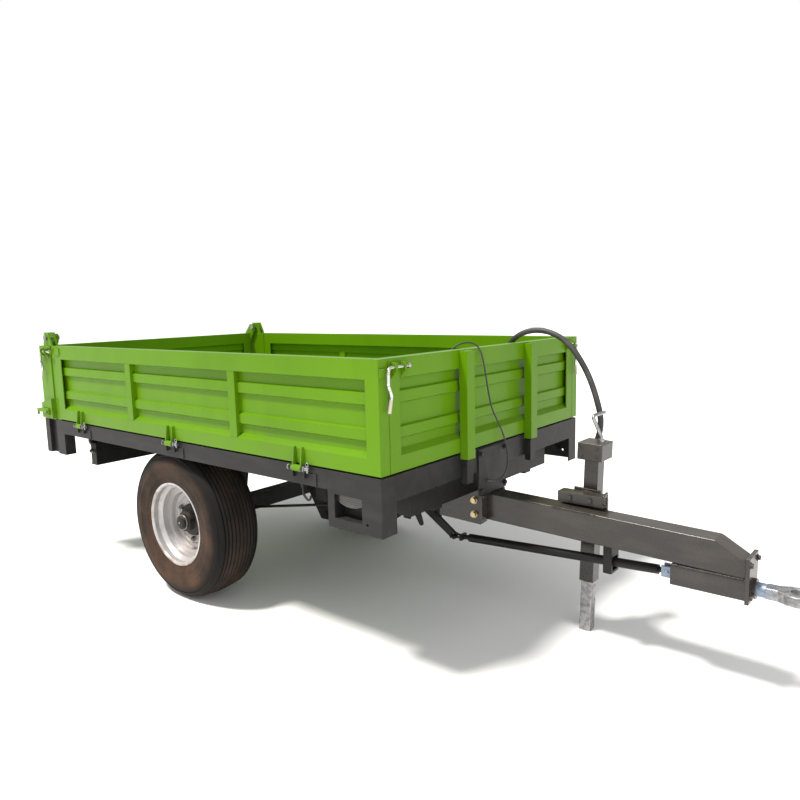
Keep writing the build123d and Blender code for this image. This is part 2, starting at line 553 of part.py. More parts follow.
PILLAR_INNER = HALF_WIDTH - BOARD_THICK
with BuildPart() as rear_pillars:
    for side in SIDES:
        pillar_y = span(side * PILLAR_INNER, side * HALF_WIDTH)
        block((BED_REAR, BED_REAR + 138), pillar_y, (RAIL_TOP + 0.2, BOARD_TOP))
        stile_y = span(side * PILLAR_INNER, side * (HALF_WIDTH - 6))
        block((BED_REAR + 138, BED_REAR + PILLAR_LENGTH), stile_y, (RAIL_TOP + 0.2, BOARD_TOP))
        void_y = span(side * (PILLAR_INNER + 5), side * (HALF_WIDTH - 11))
        void_x = (BED_REAR + 5, BED_REAR + PILLAR_LENGTH - 5)
        block(void_x, void_y, (RAIL_TOP, BOARD_TOP - 5), mode=Mode.SUBTRACT)
        for ear in ((752, 762), (782, 792)):
            ear_y = span(side * ear[0], side * ear[1])
            ear_outline = [(GATE_PIVOT[0] - 42, BOARD_TOP - 1), (GATE_PIVOT[0] + 62, BOARD_TOP - 1)]
            ear_outline += [(GATE_PIVOT[0] + 24, 1336), (GATE_PIVOT[0] - 24, 1336)]
            slab(ear_outline, side_plane(ear_y[1]), 10)
        lock_outline = [(BED_REAR + 7, BOARD_BOTTOM), (BED_REAR + 134, BOARD_BOTTOM)]
        lock_outline += [(BED_REAR + 134, 950), (BED_REAR + 7, 922)]
        slab(lock_outline, side_plane(max(side * (HALF_WIDTH - 1), side * (HALF_WIDTH + 18))), 19)
        lock_pin_y = span(side * (HALF_WIDTH + 10), side * (HALF_WIDTH + 29))
        cross_bar(LOCK_PIVOT[0], LOCK_PIVOT[1], lock_pin_y, 8)
        head_y = side * (HALF_WIDTH + 28.5)
        hexagon_head((LOCK_PIVOT[0], head_y, LOCK_PIVOT[1]), (0, side, 0), 20, 8)
    cross_bar(GATE_PIVOT[0], GATE_PIVOT[1], (-800, 800), 9, mode=Mode.SUBTRACT)
finish(rear_pillars, "rear_pillars")

FRONT_LATCH_X = BED_FRONT + 17.0
REAR_LATCH_Y = HALF_WIDTH + 17.0
with BuildPart() as latch_brackets:
    for side in SIDES:
        for near, far in ((670, 679), (722, 731)):
            ear_y = span(side * near, side * far)
            outline = [(BED_FRONT + 0.2, 1186), (BED_FRONT + 28, 1216), (BED_FRONT + 28, 1241)]
            outline += [(BED_FRONT + 0.2, 1246)]
            slab(outline, side_plane(ear_y[1]), 9)
        block((BED_FRONT + 0.2, BED_FRONT + 4), span(side * 670, side * 731), (1190, 1246))
        for start in (BED_REAR + 66, BED_REAR + 112):
            outline = [(side * (HALF_WIDTH + 0.2), 1190), (side * (HALF_WIDTH + 28), 1218)]
            outline += [(side * (HALF_WIDTH + 28), 1240), (side * (HALF_WIDTH + 0.2), 1246)]
            slab(outline, end_plane(start), 9)
        plate_y = span(side * (HALF_WIDTH + 0.2), side * (HALF_WIDTH + 4))
        block((BED_REAR + 66, BED_REAR + 121), plate_y, (1190, 1246))
        rear_y = side * REAR_LATCH_Y
        hole = LATCH_ROD_RADIUS + RUNNING_GAP
        bar((BED_REAR + 50, rear_y, LATCH_Z), (BED_REAR + 130, rear_y, LATCH_Z), hole, mode=Mode.SUBTRACT)
    cross_bar(FRONT_LATCH_X, LATCH_Z, (-760, 760), LATCH_ROD_RADIUS + RUNNING_GAP, mode=Mode.SUBTRACT)
finish(latch_brackets, "latch_brackets")

LATCH_RADII = [18, 25, 25]
LATCH_DROP = ((-2.0, -62.0), (15.0, -102.0), (1.0, -165.0))  # sideways and downward steps
for side, hand in ((-1, "right"), (1, "left")):
    with BuildPart() as front_latch:
        elbow_y = side * 765
        points = [(FRONT_LATCH_X, side * 655, LATCH_Z), (FRONT_LATCH_X, elbow_y, LATCH_Z)]
        points += [(FRONT_LATCH_X, elbow_y - side * drift, LATCH_Z + drop) for drift, drop in LATCH_DROP]
        bent_rod(points, LATCH_RADII, (1, 0, 0), LATCH_ROD_RADIUS)
        bar((FRONT_LATCH_X, side * 644, LATCH_Z), (FRONT_LATCH_X, side * 656, LATCH_Z), 10)
    finish(front_latch, f"front_{hand}_latch")
    with BuildPart() as rear_latch:
        elbow_x = BED_REAR + 44
        rear_y = side * REAR_LATCH_Y
        points = [(BED_REAR + 172, rear_y, LATCH_Z), (elbow_x, rear_y, LATCH_Z)]
        points += [(elbow_x + drift + 4, rear_y, LATCH_Z + 0.9 * drop) for drift, drop in LATCH_DROP]
        bent_rod(points, LATCH_RADII, (0, 1, 0), LATCH_ROD_RADIUS)
        bar((BED_REAR + 168, rear_y, LATCH_Z), (BED_REAR + 180, rear_y, LATCH_Z), 10)
    finish(rear_latch, f"rear_{hand}_latch")
    with BuildPart() as gate_lock:
        hook = [(LOCK_PIVOT[0] + 22, 852), (LOCK_PIVOT[0] + 22, 890), (LOCK_PIVOT[0] - 60, 892)]
        hook += [(BED_REAR - 41, 884), (BED_REAR - 41, 846), (BED_REAR - 30, 846)]
        hook += [(BED_REAR - 28, 866), (LOCK_PIVOT[0] - 60, 866)]
        plate_y = span(side * (HALF_WIDTH + 19), side * (HALF_WIDTH + 28))
        slab(hook, side_plane(plate_y[1]), 9)
        cross_bar(LOCK_PIVOT[0], LOCK_PIVOT[1], plate_y, 8 + RUNNING_GAP, mode=Mode.SUBTRACT)
    finish(gate_lock, f"{hand}_gate_lock")

GATE_PLANE = Plane(origin=(BED_REAR, TAILGATE_HALF, 0), x_dir=(1, 0, 0), z_dir=(0, -1, 0))
with BuildPart() as tailgate:
    formed_panel(GATE_PLANE, 2 * TAILGATE_HALF)
    end_stiles(GATE_PLANE, 2 * TAILGATE_HALF, 60)
    for post_y in (-250, 250):
        post_z = (LOW_RAIL_HIGH + 2, TOP_RAIL_LOW + 2)
        block((BED_REAR + 1, BED_REAR + WEB_INNER), (post_y - 25, post_y + 25), post_z)
    for side in SIDES:
        arm = [(BED_REAR + 2, 1180), (BED_REAR + 2, BOARD_TOP), (GATE_PIVOT[0] - 28, 1326)]
        arm += [(GATE_PIVOT[0] + 16, 1326), (GATE_PIVOT[0] + 18, 1284), (BED_REAR + 50, 1190)]
        slab(arm, side_plane(max(side * (TAILGATE_HALF - 1), side * (TAILGATE_HALF + 11))), 12)
        pin_lug = [(BED_REAR - 34, 850), (BED_REAR - 34, 886), (BED_REAR + 1, 890), (BED_REAR + 1, 846)]
        slab(pin_lug, side_plane(max(side * (TAILGATE_HALF - 12), side * TAILGATE_HALF)), 12)
        cross_bar(BED_REAR - 20, 868, span(side * (TAILGATE_HALF - 12), side * (HALF_WIDTH + 16)), 8)
    gate_bore = 9 + RUNNING_GAP
    cross_bar(GATE_PIVOT[0], GATE_PIVOT[1], (-800, 800), gate_bore, mode=Mode.SUBTRACT)
finish(tailgate, "tailgate")

# ---------------------------------------------------------------- wheels
RIM_RADIUS = 212.0
NUT_CIRCLE = 102.5
DISC_OUT = 6.0  # the nut face stands this far outside the wheel's centre plane


def wheel_plane(side):
    """Plane through one wheel's axis: its x axis is the radius, its y axis points outward."""
    return Plane(origin=(AXLE_X, side * WHEEL_Y, TYRE_RADIUS), x_dir=(1, 0, 0), z_dir=(0, 0, side))


def tyre_outline():
    """Return the tyre section: half of it in radius and outward distance, mirrored about the middle."""
    grooves = [(TYRE_RADIUS - 1, 12), (TYRE_RADIUS - 12, 15), (TYRE_RADIUS - 12, 22), (TYRE_RADIUS - 1.5, 25)]
    grooves += [(TYRE_RADIUS - 2, 43), (TYRE_RADIUS - 13, 46), (TYRE_RADIUS - 13, 53), (TYRE_RADIUS - 3, 56)]
    grooves += [(TYRE_RADIUS - 5, 76), (TYRE_RADIUS - 14, 79), (TYRE_RADIUS - 14, 85), (TYRE_RADIUS - 8, 88)]
    half = [(TYRE_RADIUS, 0)] + grooves + [(TYRE_RADIUS - 17, 108), (TYRE_RADIUS - 46, 124)]
    half += [(300, TYRE_WIDTH / 2), (262, 130), (230, 120), (213, 113.5), (204, 112), (204, 86)]
    half += [(226, 84), (262, 104), (300, 112), (350, 108), (368, 88), (371, 0)]
    return half


for side, hand in ((-1, "right"), (1, "left")):
    axis_line = Axis((AXLE_X, 0, TYRE_RADIUS), (0, 1, 0))
    with BuildPart() as tyre:
        with BuildSketch(wheel_plane(side)) as tyre_section:
            Polygon(*tyre_outline(), align=None)
            mirror(about=Plane.XZ)
        revolve(tyre_section.sketch, axis=axis_line)
    finish(tyre, f"{hand}_tyre")

    with BuildPart() as rim:
        rim_section = [(204, 118), (RIM_RADIUS, 118), (RIM_RADIUS, 114.8)]
        rim_section += [(203.5, 112.4), (203.5, 86), (199, 80)]
        rim_section += [(186, 68), (186, 38), (203.5, -80), (203.5, -112.4), (RIM_RADIUS, -114.8)]
        rim_section += [(RIM_RADIUS, -118), (204, -118), (198, -112), (198, -81), (181, 35)]
        rim_section += [(156, 35), (150, 12), (128, 10), (124, DISC_OUT), (84, DISC_OUT), (84, DISC_OUT + 6)]
        rim_section += [(122, DISC_OUT + 6), (126, 16), (146, 18), (152, 41), (181, 41), (181, 70)]
        rim_section += [(194, 83), (198, 88), (198, 112)]
        with BuildSketch(wheel_plane(side)) as rim_face:
            Polygon(*rim_section, align=None)
        revolve(rim_face.sketch, axis=axis_line)
        stud_plane = Plane(origin=(AXLE_X, side * WHEEL_Y, TYRE_RADIUS), z_dir=(0, side, 0))
        with Locations(stud_plane.location):
            with PolarLocations(NUT_CIRCLE, 6):
                Cylinder(9, 60, mode=Mode.SUBTRACT)
    finish(rim, f"{hand}_rim")

    with BuildPart() as hub:
        hub_section = [(20 + RUNNING_GAP, -96), (58, -96), (58, -14), (140, -14), (140, -104), (148, -104)]
        hub_section += [(148, -8), (128, -8), (128, DISC_OUT - 0.2), (82, DISC_OUT - 0.2), (80, 26)]
        hub_section += [(52, 34), (50, 62), (36, 66), (34, 84)]
        hub_section += [(24, 90), (0, 92), (0, 40), (20 + RUNNING_GAP, 40)]
        with BuildSketch(wheel_plane(side)) as hub_face:
            Polygon(*hub_section, align=None)
        revolve(hub_face.sketch, axis=axis_line)
    finish(hub, f"{hand}_hub")

    with BuildPart() as wheel_nuts:
        nut_plane = Plane(origin=(AXLE_X, side * (WHEEL_Y + DISC_OUT + 6.2), TYRE_RADIUS), z_dir=(0, side, 0))
        with BuildSketch(nut_plane) as nut_faces:
            with PolarLocations(NUT_CIRCLE, 6):
                RegularPolygon(14, 6)
        extrude(nut_faces.sketch, amount=15)
        with Locations(nut_plane.location):
            with PolarLocations(NUT_CIRCLE, 6):
                Cylinder(8, 22, align=(Align.CENTER, Align.CENTER, Align.MIN))
    finish(wheel_nuts, f"{hand}_wheel_nuts")

# ---------------------------------------------------------------- overrun brake
SHAFT_BACK = BED_FRONT + 783.0
EYE_X = BED_FRONT + 1210.0
EYE_THICK = 40.0
with BuildPart() as tow_shaft:
    bar((EYE_X, 0, EYE_HEIGHT - EYE_THICK / 2), (EYE_X, 0, EYE_HEIGHT + EYE_THICK / 2), 55)
    fillet(tow_shaft.edges().filter_by(GeomType.CIRCLE), radius=9)
    bar((SHAFT_BACK, 0, EYE_HEIGHT), (BED_FRONT + 1112, 0, EYE_HEIGHT), SHAFT_RADIUS)
    eye_outline = [(BED_FRONT + 1110, -27), (BED_FRONT + 1110, 27), (BED_FRONT + 1150, 27)]
    eye_outline += [(EYE_X - 24, 47), (EYE_X - 24, -47), (BED_FRONT + 1150, -27)]
    slab(eye_outline, Plane.XY.offset(EYE_HEIGHT - EYE_THICK / 2), EYE_THICK)
    eye_low = (EYE_X, 0, EYE_HEIGHT - EYE_THICK)
    bar(eye_low, (EYE_X, 0, EYE_HEIGHT + EYE_THICK), EYE_HOLE_RADIUS, mode=Mode.SUBTRACT)
    for side in SIDES:
        block((CLEVIS_PIN[0] - 20, SHAFT_BACK + 1), span(side * 13, side * 22), (380, 424))
    cross_bar(CLEVIS_PIN[0], CLEVIS_PIN[1], (-26, 26), 8)
finish(tow_shaft, "tow_shaft")

ROD_VECTOR = Vector(CRANK_LOW[0] - CLEVIS_PIN[0], 0, CRANK_LOW[1] - CLEVIS_PIN[1]).normalized()
ROD_LENGTH = sqrt((CRANK_LOW[0] - CLEVIS_PIN[0]) ** 2 + (CRANK_LOW[1] - CLEVIS_PIN[1]) ** 2)


def on_push_rod(distance, y=0.0):
    """Return the point at a distance behind the clevis pin along the push rod."""
    return (CLEVIS_PIN[0] + ROD_VECTOR.X * distance, y, CLEVIS_PIN[1] + ROD_VECTOR.Z * distance)


with BuildPart() as push_rod:
    cross_bar(CLEVIS_PIN[0], CLEVIS_PIN[1], (-12, 12), 16)
    bar(on_push_rod(8), on_push_rod(40), 11)
    bar(on_push_rod(36), on_push_rod(ROD_LENGTH - 92), 19)
    bar(on_push_rod(ROD_LENGTH - 94), on_push_rod(ROD_LENGTH - 48), 11)
    block((-(ROD_LENGTH - 46), -(ROD_LENGTH - 58)), (-24, 24), (-14, 14), frame=Plane(
        origin=(CLEVIS_PIN[0], 0, CLEVIS_PIN[1]),
        x_dir=-ROD_VECTOR,
        z_dir=Vector(ROD_VECTOR.Z, 0, -ROD_VECTOR.X),
    ))
    for side in SIDES:
        fork_y = side * 19
        bar(on_push_rod(ROD_LENGTH - 50, fork_y), on_push_rod(ROD_LENGTH + 6, fork_y), 5)
    cross_bar(CRANK_LOW[0], CRANK_LOW[1], (-28, 28), 7)
    cross_bar(CLEVIS_PIN[0], CLEVIS_PIN[1], (-13, 13), 8 + RUNNING_GAP, mode=Mode.SUBTRACT)
finish(push_rod, "push_rod")

LEVER_SLACK = 3.6  # the lever's eye is this much wider than the rod's pin
BRAKE_ARM_Y = (71.0, 79.0)


def link_plate(first, second, radii, y):
    """Add a flat link between two points in the XZ plane, rounded about both ends."""
    run = Vector(second[0] - first[0], second[1] - first[1])
    normal = Vector(-run.Y, run.X).normalized()
    corners = [
        (first[0] + normal.X * radii[0], first[1] + normal.Y * radii[0]),
        (second[0] + normal.X * radii[1], second[1] + normal.Y * radii[1]),
        (second[0] - normal.X * radii[1], second[1] - normal.Y * radii[1]),
        (first[0] - normal.X * radii[0], first[1] - normal.Y * radii[0]),
    ]
    slab(corners, side_plane(y[1]), y[1] - y[0])
    cross_bar(first[0], first[1], y, radii[0])
    cross_bar(second[0], second[1], y, radii[1])


with BuildPart() as bell_crank:
    cross_bar(CRANK_SHAFT[0], CRANK_SHAFT[1], (-166, 166), 12)
    link_plate(CRANK_SHAFT, CRANK_LOW, (22, 19), (-6, 6))
    low_eye = 7 + LEVER_SLACK
    cross_bar(CRANK_LOW[0], CRANK_LOW[1], (-7, 7), low_eye, mode=Mode.SUBTRACT)
    for side in SIDES:
        arm_y = span(side * BRAKE_ARM_Y[0], side * BRAKE_ARM_Y[1])
        link_plate(CRANK_SHAFT, CRANK_HIGH, (20, 14), arm_y)
        cross_bar(CRANK_HIGH[0], CRANK_HIGH[1], span(side * 78, side * 114), 6.5)
        link_plate(CRANK_SHAFT, (CRANK_SHAFT[0] + 26, 398), (20, 12), arm_y)
finish(bell_crank, "bell_crank")

ROD_EYE_IN = 100.0
ROD_EYE_OUT = 500.0
for side, hand in ((-1, "right"), (1, "left")):
    front_eye = (CRANK_HIGH[0], side * ROD_EYE_IN, CRANK_HIGH[1])
    rear_eye = (CAM_LEVER_END[0], side * ROD_EYE_OUT, CAM_LEVER_END[1])
    run = Vector(*rear_eye) - Vector(*front_eye)
    step = run.normalized()
    with BuildPart() as brake_rod:
        bar(Vector(*front_eye) + step * 14, Vector(*rear_eye) - step * 14, 7)
        for eye in (front_eye, rear_eye):
            eye_y = (eye[1] - 6, eye[1] + 6)
            cross_bar(eye[0], eye[2], eye_y, 19)
            cross_bar(eye[0], eye[2], (eye_y[0] - 9, eye_y[1] + 9), 9.5, mode=Mode.SUBTRACT)
    finish(brake_rod, f"{hand}_brake_rod")
    with BuildPart() as brake_lever:
        link_plate(CAM_PIVOT, CAM_LEVER_END, (17, 14), span(side * 511, side * 519))
        cross_bar(CAM_LEVER_END[0], CAM_LEVER_END[1], span(side * 486, side * 512), 6.5)
        bore_y = span(side * 509, side * 520)
        cross_bar(CAM_PIVOT[0], CAM_PIVOT[1], bore_y, 9 + RUNNING_GAP, mode=Mode.SUBTRACT)
    finish(brake_lever, f"{hand}_brake_lever")

# ---------------------------------------------------------------- parking jack
lean = radians(JACK_LEAN)
JACK_FRAME = Plane(
    origin=(JACK_X, JACK_Y, JACK_PIVOT_Z), x_dir=(cos(lean), 0, -sin(lean)), z_dir=(sin(lean), 0, cos(lean))
)
JACK_HALF = 31.0
LEG_HALF = 25.0
HEAD_X = (-55.0, 55.0)
HEAD_Z = (162.0, 236.0)
FOOT_Z = -JACK_PIVOT_Z / cos(lean)
with BuildPart() as jack_tube:
    block((-JACK_HALF, JACK_HALF), (-JACK_HALF, JACK_HALF), (-385, HEAD_Z[0]), frame=JACK_FRAME)
    bore_half = LEG_HALF + 0.5
    bore = (-bore_half, bore_half)
    block(bore, bore, (-386, HEAD_Z[0] - 12), frame=JACK_FRAME, mode=Mode.SUBTRACT)
    block((-60, 60), (70.5 - JACK_Y, 80 - JACK_Y), (-60, 40), frame=JACK_FRAME)
    block((-40, 40), (78 - JACK_Y, -JACK_HALF), (-50, 30), frame=JACK_FRAME)
    stud_end = 93 - JACK_Y
    stud_bore = JACK_STUD_RADIUS + RUNNING_GAP
    bar((0, 68 - JACK_Y, 0), (0, stud_end, 0), stud_bore, frame=JACK_FRAME, mode=Mode.SUBTRACT)
finish(jack_tube, "jack_tube")

with BuildPart() as jack_head:
    block(HEAD_X, (-58, 58), HEAD_Z, frame=JACK_FRAME)
    fillet(jack_head.edges(), radius=4)
    block((-49, 49), (-52, 52), (HEAD_Z[0] + 6, HEAD_Z[1] - 6), frame=JACK_FRAME, mode=Mode.SUBTRACT)
    well_bottom = (26, 0, HEAD_Z[1] - 7)
    bar(well_bottom, (26, 0, HEAD_Z[1] + 1), 13 + RUNNING_GAP, frame=JACK_FRAME, mode=Mode.SUBTRACT)
finish(jack_head, "jack_head")

with BuildPart() as jack_leg:
    block((-LEG_HALF, LEG_HALF), (-LEG_HALF, LEG_HALF), (FOOT_Z, -155), frame=JACK_FRAME)
    fillet(jack_leg.edges().filter_by(lambda edge: edge.length > 300), radius=4)
    void = LEG_HALF - 5
    block((-void, void), (-void, void), (FOOT_Z + 10, -154), frame=JACK_FRAME, mode=Mode.SUBTRACT)
    below = Plane(origin=(0, 0, -40))
    block((JACK_X - 200, JACK_X + 200), (0, 300), (0, 40), frame=below, mode=Mode.SUBTRACT)
finish(jack_leg, "jack_leg")

with BuildPart() as jack_crank:
    with BuildLine(JACK_FRAME) as crank_path:
        FilletPolyline(
            (26, 0, HEAD_Z[1] - 20),
            (26, 0, HEAD_Z[1] + 22),
            (-10, -20, HEAD_Z[1] + 112),
            (0, 82, HEAD_Z[1] + 114),
            radius=[16, 14],
        )
    crank_wire = crank_path.wire()
    with BuildSketch(Plane(origin=crank_wire @ 0, z_dir=crank_wire % 0)) as crank_section:
        Circle(7.5)
    sweep(crank_section.sketch, path=crank_wire)
    bar((26, 0, HEAD_Z[1] - 26), (26, 0, HEAD_Z[1] + 14), 13, frame=JACK_FRAME)
finish(jack_crank, "jack_crank")

# ---------------------------------------------------------------- tipping ram
RAM_ANGLE = atan2(RAM_HIGH[1] - RAM_LOW[1], RAM_HIGH[0] - RAM_LOW[0])
RAM_CLOSED = sqrt((RAM_HIGH[0] - RAM_LOW[0]) ** 2 + (RAM_HIGH[1] - RAM_LOW[1]) ** 2)


def on_ram(distance):
    """Return the point at a distance from the ram's lower pivot along its closed length."""
    return (RAM_LOW[0] + distance * cos(RAM_ANGLE), 0, RAM_LOW[1] + distance * sin(RAM_ANGLE))


SLEEVES = [(66.0, 58.0, 30.0, 362.0), (57.7, 50.0, 52.0, 372.0), (49.7, 42.0, 62.0, 378.0)]
with BuildPart() as ram_barrel:
    bar(on_ram(SLEEVES[0][2]), on_ram(SLEEVES[0][3]), SLEEVES[0][0])
    bar(on_ram(50), on_ram(SLEEVES[0][3] + 1), SLEEVES[0][1], mode=Mode.SUBTRACT)
    cross_bar(RAM_LOW[0], RAM_LOW[1], (-66, 66), 34)
    cross_bar(RAM_LOW[0], RAM_LOW[1], (-88, 88), 15)
finish(ram_barrel, "ram_barrel")

for number in (1, 2):
    radius, inner, bottom, top = SLEEVES[number]
    with BuildPart() as ram_stage:
        bar(on_ram(bottom), on_ram(top), radius)
        bar(on_ram(bottom + 8), on_ram(top + 1), inner, mode=Mode.SUBTRACT)
    finish(ram_stage, f"ram_stage_{number}")

RAM_EYE_OUTER = 38.0
with BuildPart() as ram_rod:
    bar(on_ram(72), on_ram(RAM_CLOSED - 24), 41.7)
    cross_bar(RAM_HIGH[0], RAM_HIGH[1], (-30, 30), RAM_EYE_OUTER)
    cross_bar(RAM_HIGH[0], RAM_HIGH[1], (-60, 60), 26.5, mode=Mode.SUBTRACT)
finish(ram_rod, "ram_rod")

# ---------------------------------------------------------------- cable and hose
CABLE_RADIUS = 3.5
HOSE_RADIUS = 13.0


def cord_radii(points, share=0.45):
    """Return one bend radius for each inner point of a cord's route."""
    radii = []
    for before, here, after in zip(points, points[1:], points[2:]):
        first = Vector(*here) - Vector(*before)
        second = Vector(*after) - Vector(*here)
        half_turn = radians(first.get_angle(second)) / 2
        radii.append(share * min(first.length, second.length) / tan(half_turn))
    return radii


def report_cord(name, points, radius, part):
    """Print the bend radii and compare the tube's volume with its section times its length."""
    with BuildLine() as route:
        FilletPolyline(*points, radius=cord_radii(points))
    expected = pi * radius**2 * route.wire().length
    tightest = min(cord_radii(points))
    print([round(value) for value in cord_radii(points)])
    print(f"{name}: length {route.wire().length:.0f}, tightest radius {tightest:.0f}")
    print(f"{name}: volume {part.volume:.0f}, section times length {expected:.0f}")


FRONT = BED_FRONT
CABLE_POINTS = [
    (FRONT + 2, -94, 668),
    (FRONT + 36, -66, 668),
    (FRONT + 47, -20, 683),
    (FRONT + 40, 22, 728),
    (FRONT + 28, 36, 790),
    (FRONT + 20, 20, 856),
    (FRONT + 16, -18, 918),
    (FRONT + 13, -70, 988),
    (FRONT + 12, -98, 1078),
    (FRONT + 13, -122, 1168),
    (FRONT + 15, -150, 1243),
    (FRONT + 9, -188, 1281),
    (FRONT - 24, -232, 1288),
    (FRONT - 62, -272, 1258),
    (FRONT - 78, -294, 1188),
    (FRONT - 82, -304, 1096),
    (FRONT - 80, -308, 998),
    (FRONT - 88, -312, 912),
    (FRONT - 112, -314, 852),
    (FRONT - 170, -310, 834),
    (FRONT - 262, -298, 834),
    (FRONT - 350, -320, 834),
    (FRONT - 420, -382, 834),
    (FRONT - 500, -402, 834),
]
with BuildPart() as cable:
    bent_rod(CABLE_POINTS, cord_radii(CABLE_POINTS), (0, 0, 1), CABLE_RADIUS)
finish(cable, "cable")
report_cord("cable", CABLE_POINTS, CABLE_RADIUS, cable.part)

PLUG_Z = RAIL_TOP + 5 + 19
with BuildPart() as cable_plug:
    end = Vector(*CABLE_POINTS[-1])
    way = (end - Vector(*CABLE_POINTS[-2])).normalized()
    bar(end, end + way * 34, 5)
    body_end = end + way * 34
    body_start = Vector(body_end.X, body_end.Y, PLUG_Z)
    bar(body_start, body_start + way * 62, 18.5)
    bar(body_start + way * 62, body_start + way * 92, 16)
finish(cable_plug, "cable_plug")

HOSE_FLOOR_Z = RAIL_TOP + 5 + HOSE_RADIUS + 0.5
COIL_RADIUS = 143.0
COIL_CENTRE = (FRONT - 640.0, 250.0 - COIL_RADIUS)
HOSE_POINTS = [
    (HOSE_FOOT[0], HOSE_FOOT[1], HOSE_FOOT[2] + 0.3),
    (FRONT + 340, 250, 775),
    (FRONT + 384, 250, 900),
    (FRONT + 352, 250, 1030),
    (FRONT + 302, 250, 1150),
    (FRONT + 215, 248, 1270),
    (FRONT + 98, 244, 1322),
    (FRONT - 30, 242, 1304),
    (FRONT - 118, 244, 1210),
    (FRONT - 160, 248, 1080),
    (FRONT - 186, 252, 950),
    (FRONT - 268, 254, 862),
    (FRONT - 390, 252, HOSE_FLOOR_Z),
    (FRONT - 515, 250, HOSE_FLOOR_Z),
    (COIL_CENTRE[0] + 88, 250, HOSE_FLOOR_Z),
]
with BuildPart() as hose:
    bent_rod(HOSE_POINTS, cord_radii(HOSE_POINTS), (0, 1, 0), HOSE_RADIUS)
finish(hose, "hose")
report_cord("hose", HOSE_POINTS, HOSE_RADIUS, hose.part)

LAYERS = 2
with BuildPart() as hose_coil:
    coil_low = HOSE_FLOOR_Z - HOSE_RADIUS
    with Locations((COIL_CENTRE[0], COIL_CENTRE[1], coil_low)):
        Cylinder(
            COIL_RADIUS + HOSE_RADIUS,
            2 * HOSE_RADIUS * LAYERS,
            align=(Align.CENTER, Align.CENTER, Align.MIN),
        )
    with Locations((COIL_CENTRE[0], COIL_CENTRE[1], coil_low)):
        Cylinder(COIL_RADIUS - HOSE_RADIUS, 200, mode=Mode.SUBTRACT)
    stub_start = (COIL_CENTRE[0] + 10, 250, HOSE_FLOOR_Z)
    bar(stub_start, (COIL_CENTRE[0] + 87.7, 250, HOSE_FLOOR_Z), HOSE_RADIUS - 0.4)
    tail_end = (COIL_CENTRE[0] + 20, COIL_CENTRE[1] - COIL_RADIUS - 32, HOSE_FLOOR_Z + 4)
    bar((COIL_CENTRE[0] - 60, COIL_CENTRE[1] - COIL_RADIUS - 2, HOSE_FLOOR_Z), tail_end, HOSE_RADIUS - 0.4)
finish(hose_coil, "hose_coil")

with BuildPart() as hose_coupler:
    bar((tail_end[0] + 5, tail_end[1], tail_end[2]), (tail_end[0] + 30, tail_end[1], tail_end[2]), 14)
    bar((tail_end[0] + 30, tail_end[1], tail_end[2]), (tail_end[0] + 78, tail_end[1], tail_end[2]), 17)
    bar((tail_end[0] + 78, tail_end[1], tail_end[2]), (tail_end[0] + 112, tail_end[1], tail_end[2]), 12)
finish(hose_coupler, "hose_coupler")
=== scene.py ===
"""Single-axle tipping farm trailer: cords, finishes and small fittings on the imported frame."""

import json
import logging
import math
from dataclasses import dataclass, field
from enum import Enum
from typing import Sequence

import bpy
from mathutils import Matrix, Vector

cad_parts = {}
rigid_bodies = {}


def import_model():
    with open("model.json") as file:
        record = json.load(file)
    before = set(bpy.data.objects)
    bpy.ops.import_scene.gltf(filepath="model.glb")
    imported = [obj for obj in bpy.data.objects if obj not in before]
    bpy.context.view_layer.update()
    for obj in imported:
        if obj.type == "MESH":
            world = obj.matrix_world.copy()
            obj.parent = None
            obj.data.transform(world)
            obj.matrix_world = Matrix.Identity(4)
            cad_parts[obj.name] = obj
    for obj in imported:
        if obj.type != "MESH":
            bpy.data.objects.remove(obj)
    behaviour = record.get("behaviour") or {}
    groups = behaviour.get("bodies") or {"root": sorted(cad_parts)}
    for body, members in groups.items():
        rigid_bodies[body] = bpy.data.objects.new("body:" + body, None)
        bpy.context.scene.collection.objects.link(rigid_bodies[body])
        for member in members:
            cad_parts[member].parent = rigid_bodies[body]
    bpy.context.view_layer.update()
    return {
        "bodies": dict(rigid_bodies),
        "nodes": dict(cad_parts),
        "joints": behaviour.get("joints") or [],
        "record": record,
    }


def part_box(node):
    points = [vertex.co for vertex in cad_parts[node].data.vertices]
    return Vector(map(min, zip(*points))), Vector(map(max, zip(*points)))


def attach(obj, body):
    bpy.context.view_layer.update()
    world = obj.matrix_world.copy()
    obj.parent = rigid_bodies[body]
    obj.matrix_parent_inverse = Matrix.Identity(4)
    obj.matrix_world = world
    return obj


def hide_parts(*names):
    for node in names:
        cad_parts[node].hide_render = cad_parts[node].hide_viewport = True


LOG = logging.getLogger("trailer")
Point = tuple[float, float, float]
Colour = tuple[float, float, float]


